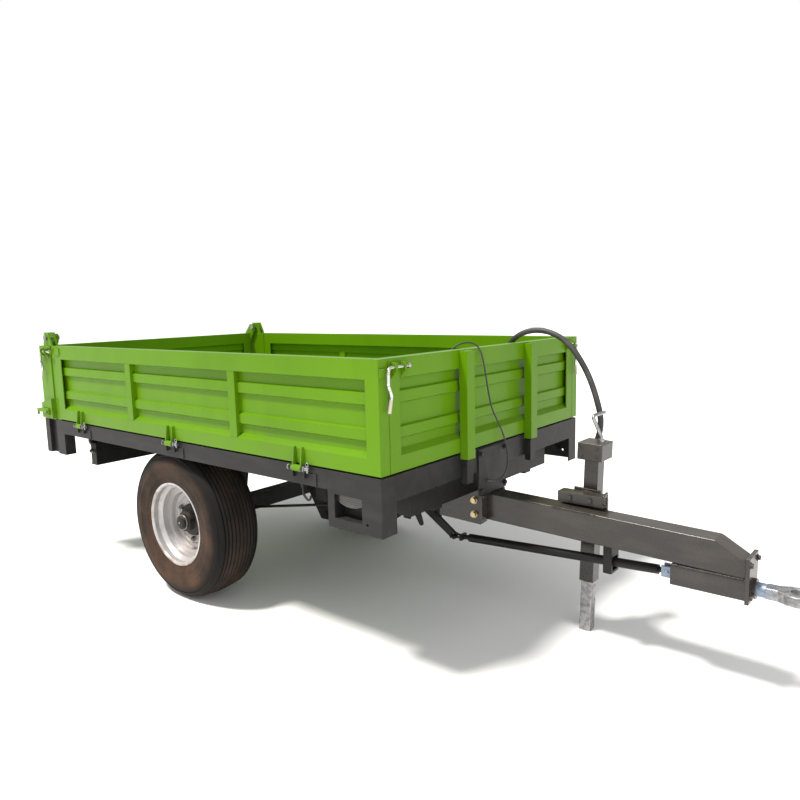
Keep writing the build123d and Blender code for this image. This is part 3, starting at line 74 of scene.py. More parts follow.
# ------------------------------------------------------------------ shader expressions
class Field:
    """One shader socket, on which arithmetic adds Math nodes."""

    def __init__(self, graph: "Graph", socket: bpy.types.NodeSocket) -> None:
        """Wrap a socket of a graph."""
        self.graph = graph
        self.socket = socket

    def _math(self, operation: str, first: object, second: object) -> "Field":
        """Return the result of one Math node."""
        return self.graph.node("ShaderNodeMath", {"operation": operation}, {0: first, 1: second})

    def __add__(self, other: object) -> "Field":
        """Add a number or field."""
        return self._math("ADD", self, other)

    def __radd__(self, other: object) -> "Field":
        """Add to a number."""
        return self._math("ADD", other, self)

    def __sub__(self, other: object) -> "Field":
        """Subtract a number or field."""
        return self._math("SUBTRACT", self, other)

    def __rsub__(self, other: object) -> "Field":
        """Subtract from a number."""
        return self._math("SUBTRACT", other, self)

    def __mul__(self, other: object) -> "Field":
        """Multiply by a number or field."""
        return self._math("MULTIPLY", self, other)

    def __rmul__(self, other: object) -> "Field":
        """Multiply a number."""
        return self._math("MULTIPLY", other, self)

    def __gt__(self, other: object) -> "Field":
        """Return 1 where this is greater."""
        return self._math("GREATER_THAN", self, other)

    def step(self, low: float, high: float) -> "Field":
        """Return a smooth rise from 0 at low to 1 at high.

        Args:
            low: Value where the result is 0.
            high: Value where the result is 1; it may be the smaller one.

        Returns:
            The field of the rise.
        """
        flip = low > high
        bounds = {1: min(low, high), 2: max(low, high)}
        limits = {3: 1.0, 4: 0.0} if flip else {3: 0.0, 4: 1.0}
        return self.graph.node(
            "ShaderNodeMapRange",
            {"interpolation_type": "SMOOTHSTEP", "clamp": True},
            {0: self, **bounds, **limits},
        )


class Graph:
    """The node tree of one material, with one method that makes any node."""

    def __init__(self, name: str) -> None:
        """Start an empty material.

        Args:
            name: Name of the material.
        """
        self.material = bpy.data.materials.new(name)
        self.material.use_nodes = True
        self.tree = self.material.node_tree
        self.tree.nodes.clear()
        self.output = self.tree.nodes.new("ShaderNodeOutputMaterial")
        self.place = self.node("ShaderNodeTexCoord", {}, {}, "Object")

    def node(self, kind: str, settings: dict, values: dict, result: object = 0) -> Field:
        """Make a node, set its settings, then set or link its sockets.

        Args:
            kind: Type name of the node.
            settings: Node properties, set first; "stops" gives a ramp's stops.
            values: Socket index or name to a number, colour or Field.
            result: Index or name of the output to return.

        Returns:
            The wanted output socket.
        """
        made = self.tree.nodes.new(kind)
        for key, value in settings.items():
            if key == "stops":
                ramp = made.color_ramp
                while len(ramp.elements) < len(value):
                    ramp.elements.new(0.5)
                for element, (position, colour) in zip(ramp.elements, value):
                    element.position = position
                    element.color = (*colour, 1.0)
            else:
                setattr(made, key, value)
        for key, value in values.items():
            if isinstance(value, Field):
                self.tree.links.new(value.socket, made.inputs[key])
            elif isinstance(value, tuple) and len(value) == 3 and made.inputs[key].type == "RGBA":
                made.inputs[key].default_value = (*value, 1.0)
            else:
                made.inputs[key].default_value = value
        return Field(self, made.outputs[result])

    def noise(self, scale: float, detail: float = 3.0, stretch: Point = (1, 1, 1)) -> Field:
        """Return noise from 0 to 1 on the piece's own coordinates."""
        where = self.node("ShaderNodeMapping", {}, {"Vector": self.place, "Scale": stretch})
        return self.node("ShaderNodeTexNoise", {}, {"Vector": where, "Scale": scale, "Detail": detail})

    def cells(self, scale: float) -> Field:
        """Return the distance to the nearest of scattered points."""
        return self.node("ShaderNodeTexVoronoi", {}, {"Vector": self.place, "Scale": scale})

    def axis(self, name: str) -> Field:
        """Return one of the object coordinates X, Y or Z."""
        return self.node("ShaderNodeSeparateXYZ", {}, {0: self.place}, name)

    def mix(self, first: object, second: object, factor: object) -> Field:
        """Blend two colours by a factor."""
        return self.node(
            "ShaderNodeMix", {"data_type": "RGBA"}, {0: factor, 6: first, 7: second}, 2
        )

    def edges(self, radius: float) -> tuple[Field, Field]:
        """Return a rounded normal and a mask that is 1 along sharp edges.

        Args:
            radius: Width of the rounding in metres.

        Returns:
            The rounded normal, and the edge mask.
        """
        rounded = self.node("ShaderNodeBevel", {"samples": 4}, {"Radius": radius})
        flat = self.node("ShaderNodeNewGeometry", {}, {}, "Normal")
        pair = {0: rounded, 1: flat}
        agree = self.node("ShaderNodeVectorMath", {"operation": "DOT_PRODUCT"}, pair, "Value")
        return rounded, agree.step(0.985, 0.86)

    def bump(
        self, height: Field, distance: float, strength: float = 1.0, normal: Field | None = None
    ) -> Field:
        """Return a normal that follows a height field."""
        values = {"Height": height, "Distance": distance, "Strength": strength}
        if normal is not None:
            values["Normal"] = normal
        return self.node("ShaderNodeBump", {}, values)

    def surface(self, **values: object) -> bpy.types.Material:
        """Finish the material with a Principled surface.

        Args:
            **values: Socket names, with underscores for spaces, and their values.

        Returns:
            The finished material.
        """
        named = {key.replace("_", " "): value for key, value in values.items()}
        shader = self.node("ShaderNodeBsdfPrincipled", {}, named)
        self.tree.links.new(shader.socket, self.output.inputs["Surface"])
        return self.material


# ------------------------------------------------------------------ finishes
@dataclass(frozen=True)
class BoothPaint:
    """Sprayed enamel on pressed sheet, with dust low down and chips along its edges."""

    name: str
    colour: Colour
    shade: Colour
    chip: Colour = (0.09, 0.085, 0.08)
    dust: Colour = (0.42, 0.36, 0.27)
    dust_low: float = 0.83
    dust_high: float = 1.0
    dust_most: float = 0.3
    gloss: float = 0.3
    coat: float = 0.5
    chips: float = 0.66

    def build(self) -> bpy.types.Material:
        """Return the paint as a material."""
        graph = Graph(self.name)
        broad = graph.noise(1.6, 4.0)
        streak = graph.noise(7.0, 5.0, (1, 1, 0.16))
        grit = graph.noise(90.0, 4.0)
        rounded, edge = graph.edges(0.0035)
        paint = graph.mix(self.colour, self.shade, (broad * 0.75 + streak * 0.45).step(0.42, 0.86))
        low = graph.axis("Z").step(self.dust_high, self.dust_low)
        dusty = low * (streak * 1.3 + grit * 0.5).step(0.55, 1.25) * self.dust_most
        veil = (graph.noise(3.1, 6.0) * grit).step(0.3, 0.7) * (self.dust_most * 0.2)
        painted = graph.mix(paint, self.dust, dusty + veil)
        worn = edge * graph.noise(38.0, 5.0).step(self.chips - 0.04, self.chips + 0.05)
        peel = graph.noise(420.0, 2.0) * 0.25 + graph.noise(2.4, 2.0) * 3.0
        return graph.surface(
            Base_Color=graph.mix(painted, self.chip, worn),
            Roughness=self.gloss + 0.16 * grit + dusty * 0.9 + worn * 0.3,
            Metallic=worn * 0.5,
            Coat_Weight=self.coat - self.coat * (dusty + worn).step(0.0, 0.5),
            Coat_Roughness=0.12,
            Specular_IOR_Level=0.14,
            Normal=graph.bump(peel, 0.0004, 0.3, rounded),
        )


@dataclass(frozen=True)
class FramePaint:
    """Satin paint brushed on heavy steel: mill texture, road dust on top faces and rubbed edges."""

    name: str
    colour: Colour
    shade: Colour
    dust: Colour = (0.33, 0.27, 0.2)
    dust_most: float = 0.35
    gloss: float = 0.42
    rust: float = 0.72
    sheen: float = 0.3

    def build(self) -> bpy.types.Material:
        """Return the paint as a material."""
        graph = Graph(self.name)
        broad = graph.noise(3.4, 5.0)
        grain = graph.noise(140.0, 3.0)
        scuff = graph.noise(24.0, 6.0, (0.25, 1, 1))
        rounded, edge = graph.edges(0.003)
        facing = graph.node("ShaderNodeNewGeometry", {}, {}, "Normal")
        upward = graph.node("ShaderNodeSeparateXYZ", {}, {0: facing}, "Z").step(0.35, 0.95)
        settled = (upward * 0.85 + 0.15) * (broad * 0.8 + grain * 0.5).step(0.45, 0.95) * self.dust_most
        paint = graph.mix(self.colour, self.shade, scuff.step(0.4, 0.7))
        dusty = graph.mix(paint, self.dust, settled)
        bare = edge * graph.noise(46.0, 5.0).step(self.rust - 0.1, self.rust)
        rusty = graph.mix((0.16, 0.16, 0.17), (0.2, 0.075, 0.03), graph.noise(60.0, 4.0).step(0.4, 0.6))
        mill = grain * 0.35 + broad * 1.4 + scuff * 0.5
        return graph.surface(
            Base_Color=graph.mix(dusty, rusty, bare),
            Roughness=self.gloss + 0.18 * grain + settled * 0.8 + bare * 0.2,
            Metallic=bare * 0.6,
            Specular_IOR_Level=self.sheen,
            Normal=graph.bump(mill, 0.0007, 0.4, rounded),
        )


@dataclass(frozen=True)
class PlatedSteel:
    """Plated or bare bright steel, with clouding and fine scratches."""

    name: str
    colour: Colour
    cloud: Colour
    roughness: float = 0.3
    tarnish: Colour = (0.2, 0.13, 0.08)
    tarnish_from: float = 0.66

    def build(self) -> bpy.types.Material:
        """Return the metal as a material."""
        graph = Graph(self.name)
        clouds = graph.noise(55.0, 4.0)
        scratches = graph.noise(260.0, 3.0, (0.12, 1, 1))
        rounded, _ = graph.edges(0.0012)
        spots = graph.noise(34.0, 6.0).step(self.tarnish_from, self.tarnish_from + 0.12)
        metal = graph.mix(self.colour, self.cloud, clouds.step(0.35, 0.7))
        return graph.surface(
            Base_Color=graph.mix(metal, self.tarnish, spots * 0.7),
            Roughness=self.roughness + 0.2 * scratches + spots * 0.3,
            Metallic=1.0 - spots * 0.6,
            Normal=graph.bump(scratches + clouds * 0.4, 0.0002, 0.4, rounded),
        )


@dataclass(frozen=True)
class HandleSteel:
    """Bright bent rod whose last stretch is bare primer, with spots of rust."""

    name: str = "latch_handle_steel"
    primer_top: float = 1.112

    def build(self) -> bpy.types.Material:
        """Return the rod's finish as a material."""
        graph = Graph(self.name)
        ragged = graph.axis("Z") + 0.02 * graph.noise(60.0, 3.0)
        primer = ragged.step(self.primer_top + 0.012, self.primer_top + 0.006)
        spots = graph.noise(90.0, 5.0).step(0.58, 0.68)
        bright = graph.mix((0.72, 0.73, 0.72), (0.5, 0.52, 0.5), graph.noise(40.0, 3.0))
        rusted = graph.mix(bright, (0.23, 0.1, 0.045), spots * 0.75)
        return graph.surface(
            Base_Color=graph.mix(rusted, (0.56, 0.5, 0.4), primer),
            Metallic=(1.0 - primer) * (1.0 - spots * 0.7),
            Roughness=0.22 + spots * 0.35 + primer * 0.4,
            Normal=graph.bump(graph.noise(300.0, 3.0) + spots, 0.0002, 0.5),
        )


@dataclass(frozen=True)
class ForgedEye:
    """Tow shaft and eye: blued near the plate, dark forge scale, rubbed bright at the ring."""

    name: str = "forged_eye_steel"
    shaft_front: float = 1.83

    def build(self) -> bpy.types.Material:
        """Return the forging's finish as a material."""
        graph = Graph(self.name)
        along = graph.axis("X")
        scale = graph.noise(70.0, 6.0)
        blued = along.step(self.shaft_front + 0.05, self.shaft_front - 0.01)
        forged = graph.mix((0.2, 0.2, 0.21), (0.36, 0.36, 0.37), scale.step(0.35, 0.7))
        toned = graph.mix(forged, (0.22, 0.3, 0.42), blued * 0.7)
        rounded, edge = graph.edges(0.004)
        return graph.surface(
            Base_Color=graph.mix(toned, (0.62, 0.62, 0.64), edge * 0.8),
            Metallic=0.9 - scale * 0.25,
            Roughness=0.38 + 0.25 * scale - edge * 0.15,
            Normal=graph.bump(scale * 2.0 + graph.noise(240.0, 2.0) * 0.4, 0.0008, 0.45, rounded),
        )


@dataclass(frozen=True)
class WheelPaint:
    """Silver wheel paint with flake, brake dust in the dish and mud along the bead seat."""

    name: str
    axle: tuple[float, float]
    rim_radius: float

    def build(self) -> bpy.types.Material:
        """Return the wheel paint as a material."""
        graph = Graph(self.name)
        across, height = graph.axis("X") - self.axle[0], graph.axis("Z") - self.axle[1]
        radius = graph.node("ShaderNodeMath", {"operation": "SQRT"}, {0: across * across + height * height})
        flake = graph.noise(900.0, 1.0)
        stain = graph.noise(16.0, 6.0)
        mud = radius.step(self.rim_radius * 0.86, self.rim_radius * 1.02) * stain.step(0.42, 0.7)
        brown = graph.noise(5.0, 5.0).step(0.3, 0.72) * 0.3 + radius.step(0.2, 0.12) * 0.25
        silver = graph.mix((0.62, 0.63, 0.64), (0.48, 0.48, 0.49), flake.step(0.4, 0.6))
        rounded, _ = graph.edges(0.002)
        return graph.surface(
            Base_Color=graph.mix(silver, (0.2, 0.125, 0.08), mud * 0.75 + brown),
            Metallic=0.55 - mud * 0.4,
            Roughness=0.36 + stain * 0.16 + mud * 0.3,
            Normal=graph.bump(stain + flake * 0.15, 0.0004, 0.4, rounded),
        )


@dataclass(frozen=True)
class TyreRubber:
    """Ribbed tyre rubber: scuffed ribs, red-brown road dust on the walls and low down, and painted shade
    darkening the grooves.
    """

    name: str
    axle: tuple[float, float]
    radius: float

    def build(self) -> bpy.types.Material:
        """Return the rubber as a material."""
        graph = Graph(self.name)
        across, height = graph.axis("X") - self.axle[0], graph.axis("Z") - self.axle[1]
        reach = graph.node("ShaderNodeMath", {"operation": "SQRT"}, {0: across * across + height * height})
        fine = graph.noise(160.0, 5.0)
        cloud = graph.noise(6.5, 6.0)
        # painted shade: mask of the groove bottoms below the crown, used to darken them as if shaded
        painted_groove_shade = reach.step(self.radius - 0.003, self.radius - 0.011) * reach.step(0.3, 0.36)
        wall = reach.step(0.372, 0.3)
        low = height.step(0.05, -self.radius)
        # painted shade: dust is taken out of the grooves so that they stay dark
        dust = (wall * 0.28 + low * 0.34 + 0.05 - painted_groove_shade * 0.2) * (cloud * 0.9 + fine * 0.5).step(0.4, 1.0)
        fresh = graph.mix((0.010, 0.009, 0.008), (0.022, 0.017, 0.014), cloud.step(0.35, 0.7))
        pits = graph.cells(420.0).step(0.0, 0.5)
        dusted = graph.mix(fresh, (0.15, 0.075, 0.042), dust)
        return graph.surface(
            # painted shade: the grooves are mixed towards near-black (0.004, 0.003, 0.003)
            Base_Color=graph.mix(dusted, (0.004, 0.003, 0.003), painted_groove_shade * 0.85),
            Roughness=0.62 + 0.2 * fine + dust * 0.15,
            Specular_IOR_Level=0.2,
            Normal=graph.bump(fine * 0.8 + pits * 0.3 + cloud, 0.0008, 0.5),
        )


@dataclass(frozen=True)
class HoseRubber:
    """Wrapped black hose or cable rubber, with its cloth impression and dry dust."""

    name: str
    colour: Colour = (0.022, 0.022, 0.023)
    weave: float = 260.0

    def build(self) -> bpy.types.Material:
        """Return the rubber as a material."""
        graph = Graph(self.name)
        cloth = graph.noise(self.weave, 1.0, (1, 1, 0.4))
        haze = graph.noise(9.0, 5.0).step(0.4, 0.75)
        return graph.surface(
            Base_Color=graph.mix(self.colour, (0.16, 0.14, 0.12), haze * 0.3),
            Roughness=0.42 + 0.2 * cloth + haze * 0.15,
            Normal=graph.bump(cloth, 0.0004, 0.5),
        )


@dataclass(frozen=True)
class MouldedPlastic:
    """Moulded plastic or lens: fine parting texture, ribs where a lens has them."""

    name: str
    colour: Colour
    roughness: float = 0.35
    rib_pitch: float = 0.0
    housing_from: float | None = None

    def build(self) -> bpy.types.Material:
        """Return the plastic as a material."""
        graph = Graph(self.name)
        grain = graph.noise(500.0, 2.0)
        haze = graph.noise(18.0, 5.0).step(0.45, 0.8)
        colour = graph.mix(self.colour, (0.3, 0.25, 0.2), haze * 0.2)
        height = grain * 0.3
        if self.rib_pitch:
            rib = self.node_wave(graph)
            height = height + rib * 2.0
        if self.housing_from is not None:
            colour = graph.mix(colour, (0.02, 0.02, 0.021), graph.axis("X") > self.housing_from)
        return graph.surface(
            Base_Color=colour,
            Roughness=self.roughness + 0.12 * grain + haze * 0.2,
            Coat_Weight=0.4 - haze * 0.3,
            Normal=graph.bump(height, 0.0006, 0.5),
        )

    def node_wave(self, graph: Graph) -> Field:
        """Return the lens ribs' height."""
        turns = math.pi / 10.0 / self.rib_pitch
        return graph.node(
            "ShaderNodeTexWave", {"bands_direction": "Z"}, {"Vector": graph.place, "Scale": turns}
        )


@dataclass(frozen=True)
class FloorPaint:
    """Painted load floor, scraped along its length and dusty in the corners."""

    name: str = "load_floor_paint"
    colour: Colour = (0.2, 0.42, 0.02)

    def build(self) -> bpy.types.Material:
        """Return the floor's finish as a material."""
        graph = Graph(self.name)
        scrape = graph.noise(30.0, 6.0, (0.05, 1, 1)).step(0.56, 0.66)
        patch = graph.noise(2.2, 6.0).step(0.45, 0.7)
        bare = graph.mix((0.28, 0.27, 0.26), (0.2, 0.09, 0.04), graph.noise(20.0, 5.0).step(0.45, 0.6))
        dusty = graph.mix(self.colour, (0.3, 0.24, 0.16), patch * 0.6)
        return graph.surface(
            Base_Color=graph.mix(dusty, bare, scrape * 0.85),
            Metallic=scrape * 0.4,
            Roughness=0.45 + patch * 0.3,
            Normal=graph.bump(scrape + patch * 0.4, 0.0008, 0.5),
        )


# ------------------------------------------------------------------ modelling helpers
class Shop:
    """Modelling steps shared by the classes that make new pieces."""

    @staticmethod
    def clear() -> None:
        """Deselect everything."""
        for item in bpy.context.selected_objects:
            item.select_set(False)

    @staticmethod
    def active(name: str) -> bpy.types.Object:
        """Name and return the object an operator has just added."""
        item = bpy.context.object
        item.name = name
        item.data.name = name
        return item

    @staticmethod
    def modify(item: bpy.types.Object, kind: str, **settings: object) -> None:
        """Add a modifier, set it and apply it.

        Args:
            item: Object to change.
            kind: Type of the modifier.
            **settings: Properties of the modifier.
        """
        made = item.modifiers.new(kind.lower(), kind)
        for key, value in settings.items():
            setattr(made, key, value)
        bpy.context.view_layer.objects.active = item
        bpy.ops.object.modifier_apply(modifier=made.name)

    @staticmethod
    def settle(item: bpy.types.Object) -> bpy.types.Object:
        """Move an object's place into its mesh, and smooth its round faces."""
        Shop.clear()
        item.select_set(True)
        bpy.context.view_layer.objects.active = item
        bpy.ops.object.transform_apply(location=True, rotation=True, scale=True)
        bpy.ops.object.shade_smooth_by_angle(angle=math.radians(38))
        return item

    @staticmethod
    def join(items: Sequence[bpy.types.Object], name: str) -> bpy.types.Object:
        """Join objects into one that has a name."""
        Shop.clear()
        for item in items:
            item.select_set(True)
        bpy.context.view_layer.objects.active = items[0]
        bpy.ops.object.join()
        made = bpy.context.object
        made.name = name
        made.data.name = name
        return Shop.settle(made)

    @staticmethod
    def towards(direction: Vector) -> tuple[float, float, float]:
        """Return the Euler turn that points local Z in a direction."""
        return tuple(direction.to_track_quat("Z", "Y").to_euler())

    @staticmethod
    def dress(item: bpy.types.Object, material: bpy.types.Material, slot: str, body: str) -> None:
        """Give a piece its material, and let it ride on a body."""
        item.data.materials.clear()
        item.data.materials.append(material)
        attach(item, body)
        LOG.info("piece %s rides on %s", item.name, body)


# ------------------------------------------------------------------ camera, light and floor
@dataclass
class Studio:
    """Camera, pale floor and soft light round the trailer."""

    bed_front: float
    board_top: float
    lens: float = 31.26
    sky_light: float = 0.66
    azimuth: float = 39.5
    elevation: float = 7.92
    roll: float = -1.446
    offset: Point = (1.6132, -2.6392, 0.1951)

    def camera(self) -> None:
        """Place the camera at the viewing angle."""
        turn, rise, roll = (math.radians(value) for value in (self.azimuth, self.elevation, self.roll))
        back = Vector((math.sin(turn) * math.cos(rise), -math.cos(turn) * math.cos(rise), math.sin(rise)))
        right = Vector((0, 0, 1)).cross(back).normalized()
        above = back.cross(right)
        rolled_right = right * math.cos(roll) + above * math.sin(roll)
        rolled_above = above * math.cos(roll) - right * math.sin(roll)
        place = Vector((self.bed_front, 0.0, self.board_top)) + Vector(self.offset)
        data = bpy.data.cameras.new("view")
        data.lens = self.lens
        data.sensor_width = 36.0
        camera = bpy.data.objects.new("view", data)
        bpy.context.scene.collection.objects.link(camera)
        axes = Matrix((rolled_right, rolled_above, back)).transposed().to_4x4()
        camera.matrix_world = Matrix.Translation(place) @ axes
        bpy.context.scene.camera = camera

    def floor(self) -> None:
        """Lay the pale floor."""
        Shop.clear()
        bpy.ops.mesh.primitive_plane_add(size=60, location=(0, 0, 0))
        ground = Shop.active("floor")
        graph = Graph("pale_floor")
        tone = graph.noise(1.2, 4.0)
        pale = graph.mix((0.86, 0.86, 0.86), (0.8, 0.8, 0.8), tone)
        material = graph.surface(
            Base_Color=pale, Roughness=0.75 + 0.1 * tone, Normal=graph.bump(graph.noise(60.0), 0.0004, 0.2)
        )
        ground.data.materials.append(material)

    def lights(self) -> None:
        """Light the trailer from its right rear, with a broad pale sky."""
        sun = bpy.data.lights.new("key", "SUN")
        sun.energy = 5.0
        sun.angle = math.radians(9)
        sun.color = (1.0, 0.965, 0.9)
        key = bpy.data.objects.new("key", sun)
        bpy.context.scene.collection.objects.link(key)
        source = Vector((-0.32, -0.5, 1.2)).normalized()
        key.rotation_euler = source.to_track_quat("Z", "Y").to_euler()
        area = bpy.data.lights.new("front_fill", "AREA")
        area.energy = 110
        area.size = 5.0
        fill = bpy.data.objects.new("front_fill", area)
        bpy.context.scene.collection.objects.link(fill)
        fill.location = (6.0, -3.0, 3.4)
        fill.rotation_euler = (fill.location - Vector((0.5, 0, 0.7))).to_track_quat("Z", "Y").to_euler()
        world = bpy.data.worlds.new("sky")
        world.use_nodes = True
        world.node_tree.nodes["Background"].inputs[0].default_value = (1.0, 1.0, 1.0, 1.0)
        backdrop = world.node_tree.nodes["Background"]
        path = world.node_tree.nodes.new("ShaderNodeLightPath")
        strength = world.node_tree.nodes.new("ShaderNodeMapRange")
        strength.inputs["To Min"].default_value = self.sky_light
        strength.inputs["To Max"].default_value = 1.0
        world.node_tree.links.new(path.outputs["Is Camera Ray"], strength.inputs["Value"])
        world.node_tree.links.new(strength.outputs["Result"], backdrop.inputs["Strength"])
        bpy.context.scene.world = world
        bpy.context.scene.view_settings.view_transform = "Standard"


# ------------------------------------------------------------------ cords
class FarEnd(Enum):
    """What a cord ends in."""

    PLUG = "plug"
    FITTING = "fitting"


@dataclass
class Cord:
    """A free cable or hose on one smooth curve through listed points."""

    name: str
    points: list[Point]
    diameter: float
    length: float
    far_end: FarEnd
    end_piece: str
    replaced: tuple[str, ...]
    stiffness: str = "medium"
    lay: str = "loose"

    def curve(self) -> bpy.types.Object:
        """Return the cord's curve."""
        data = bpy.data.curves.new(self.name, "CURVE")
        data.dimensions = "3D"
        data.bevel_depth = self.diameter / 2
        data.bevel_resolution = 5
        data.resolution_u = 10
        data.use_fill_caps = True
        line = data.splines.new("NURBS")
        line.points.add(len(self.points) - 1)
        for knot, place in zip(line.points, self.points):
            knot.co = (*place, 1.0)
        line.order_u = 3
        line.use_endpoint_u = True
        made = bpy.data.objects.new(self.name, data)
        bpy.context.scene.collection.objects.link(made)
        return made

    def build(self, finish: bpy.types.Material, nodes: dict) -> None:
        """Args:
            finish: The cord's material.
            nodes: The frame's nodes by name; not used.
        """
        made = self.curve()
        Shop.dress(made, finish, "cord_black", "bed")
        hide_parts(*self.replaced)


@dataclass
class Cords:
    """The electric cable and the tipping hose, parked over the front wall."""

    front: float
    hose_foot: Point
    hose_floor: float
    coil_radius: float = 0.143
    coil_steps: int = 16

    def cable_points(self) -> list[Point]:
        """Return the cable's route, from the hole in the front plate to its plug."""
        steps = [
            (0.002, -0.094, 0.668), (0.036, -0.066, 0.668), (0.047, -0.020, 0.683), (0.040, 0.022, 0.728),
            (0.028, 0.036, 0.790), (0.020, 0.020, 0.856), (0.016, -0.018, 0.918), (0.013, -0.070, 0.988),
            (0.012, -0.098, 1.078), (0.013, -0.122, 1.168), (0.015, -0.150, 1.243), (0.009, -0.188, 1.281),
            (-0.024, -0.232, 1.288), (-0.062, -0.272, 1.258),
            (-0.078, -0.294, 1.188), (-0.082, -0.304, 1.096),
            (-0.080, -0.308, 0.998), (-0.088, -0.312, 0.912),
            (-0.112, -0.314, 0.852), (-0.170, -0.310, 0.834),
            (-0.262, -0.298, 0.834), (-0.350, -0.320, 0.834),
            (-0.420, -0.382, 0.834), (-0.500, -0.402, 0.834),
        ]
        return [(self.front + x, y, z) for x, y, z in steps]

    def hose_points(self) -> list[Point]:
        """Return the hose's route: up from its fitting, over the wall and into its coil."""
        floor = self.hose_floor
        steps = [
            (0.340, 0.250, 0.775), (0.384, 0.250, 0.900), (0.352, 0.250, 1.030), (0.302, 0.250, 1.150),
            (0.215, 0.248, 1.270), (0.098, 0.244, 1.322), (-0.030, 0.242, 1.304), (-0.118, 0.244, 1.210),
            (-0.160, 0.248, 1.080), (-0.186, 0.252, 0.950), (-0.268, 0.254, 0.862), (-0.390, 0.252, floor),
            (-0.515, 0.250, floor),
        ]
        route = [(self.front + x, y, z) for x, y, z in steps]
        return [self.hose_foot] + route + self.coil_points()

    def coil_points(self) -> list[Point]:
        """Return one and a half turns, the last half turn lying on the first, then the loose end."""
        centre = Vector((self.front - 0.640, 0.250 - self.coil_radius, 0.0))
        step = math.tau / self.coil_steps
        widened = self.coil_radius / math.cos(step / 2)
        points = []
        for number in range(self.coil_steps + 6):
            angle = math.pi / 2 + (number + 0.5) * step
            layer = min(max((number - self.coil_steps + 3) / 3.0, 0.0), 1.0)
            height = self.hose_floor + 0.0265 * layer
            across = centre + Vector((math.cos(angle), math.sin(angle), 0.0)) * widened
            points.append((across.x, across.y, height))
        end_y = centre.y - self.coil_radius - 0.032
        points.append((centre.x - 0.062, centre.y - 0.148, self.hose_floor + 0.0265))
        points.append((centre.x - 0.030, centre.y - 0.166, self.hose_floor + 0.018))
        points.append((centre.x - 0.004, end_y, self.hose_floor + 0.006))
        points.append((centre.x + 0.024, end_y, self.hose_floor + 0.004))
        return points

    def build(self, nodes: dict) -> None:
        """Make both cords."""
        cable = Cord(
            "light_cable", self.cable_points(), 0.007, 1.70, FarEnd.PLUG, "cable_plug", ("cable",), "medium"
        )
        cable.build(HoseRubber("cable_rubber", weave=500.0).build(), nodes)
        hose = Cord(
            "tipping_hose", self.hose_points(), 0.026, 3.14, FarEnd.FITTING, "hose_coupler",
            ("hose", "hose_coil"), "stiff",
        )
        hose.build(HoseRubber("hose_rubber").build(), nodes)


# ------------------------------------------------------------------ small fittings
@dataclass
class Bolts:
    """Hexagon bolts with their washers, modelled once and copied to each place."""

    across: float = 0.017
    head: float = 0.008
    washer: float = 0.0025

    def pattern(self) -> bpy.types.Object:
        """Return one bolt, standing on the origin and pointing up."""
        Shop.clear()
        radius = self.across / math.sqrt(3)
        bpy.ops.mesh.primitive_cylinder_add(
            vertices=6, radius=radius, depth=self.head, location=(0, 0, self.washer + self.head / 2)
        )
        head = Shop.active("bolt_head")
        bpy.ops.object.mode_set(mode="EDIT")
        bpy.ops.mesh.select_all(action="SELECT")
        bpy.ops.mesh.bevel(offset=self.across * 0.055, segments=2, affect="EDGES")
        bpy.ops.object.mode_set(mode="OBJECT")
        bpy.ops.mesh.primitive_cylinder_add(
            vertices=24, radius=radius * 1.32, depth=self.washer, location=(0, 0, self.washer / 2)
        )
        washer = Shop.active("bolt_washer")
        bpy.ops.object.mode_set(mode="EDIT")
        bpy.ops.mesh.select_all(action="SELECT")
        bpy.ops.mesh.bevel(offset=self.washer * 0.25, segments=1, affect="EDGES")
        bpy.ops.object.mode_set(mode="OBJECT")
        return Shop.join([head, washer], "bolt_pattern")

    def set_of(self, name: str, places: Sequence[tuple[Point, Point]]) -> bpy.types.Object:
        """Return bolts at several places as one piece.

        Args:
            name: Name of the piece.
            places: The point and direction of each bolt.

        Returns:
            The joined piece.
        """
        pattern = self.pattern()
        copies = []
        for number, (place, direction) in enumerate(places):
            copy = bpy.data.objects.new(f"{name}_{number}", pattern.data.copy())
            bpy.context.scene.collection.objects.link(copy)
            copy.location = place
            copy.rotation_euler = Shop.towards(Vector(direction))
            copies.append(copy)
        bpy.data.objects.remove(pattern)
        return Shop.join(copies, name)


@dataclass
class WeldSeam:
    """A rippled fillet weld, one drop after another."""

    radius: float = 0.0045
    pitch: float = 0.0052

    def run(self, name: str, seams: Sequence[tuple[Point, Point]]) -> bpy.types.Object:
        """Return several straight seams as one piece.

        Args:
            name: Name of the piece.
            seams: The two ends of each seam.

        Returns:
            The joined piece.
        """
        made = []
        for number, (start, end) in enumerate(seams):
            way = Vector(end) - Vector(start)
            count = max(2, int(way.length / self.pitch))
            Shop.clear()
            bpy.ops.mesh.primitive_uv_sphere_add(segments=8, ring_count=5, radius=self.radius, location=start)
            drop = Shop.active(f"{name}_{number}")
            drop.scale = (1.0, 1.0, 0.75)
            drop.rotation_euler = Shop.towards(way)
            bpy.ops.object.transform_apply(location=False, rotation=True, scale=True)
            Shop.modify(
                drop, "ARRAY", count=count, use_relative_offset=False, use_constant_offset=True,
                constant_offset_displace=tuple(way / count),
            )
            made.append(drop)
        return Shop.join(made, name)


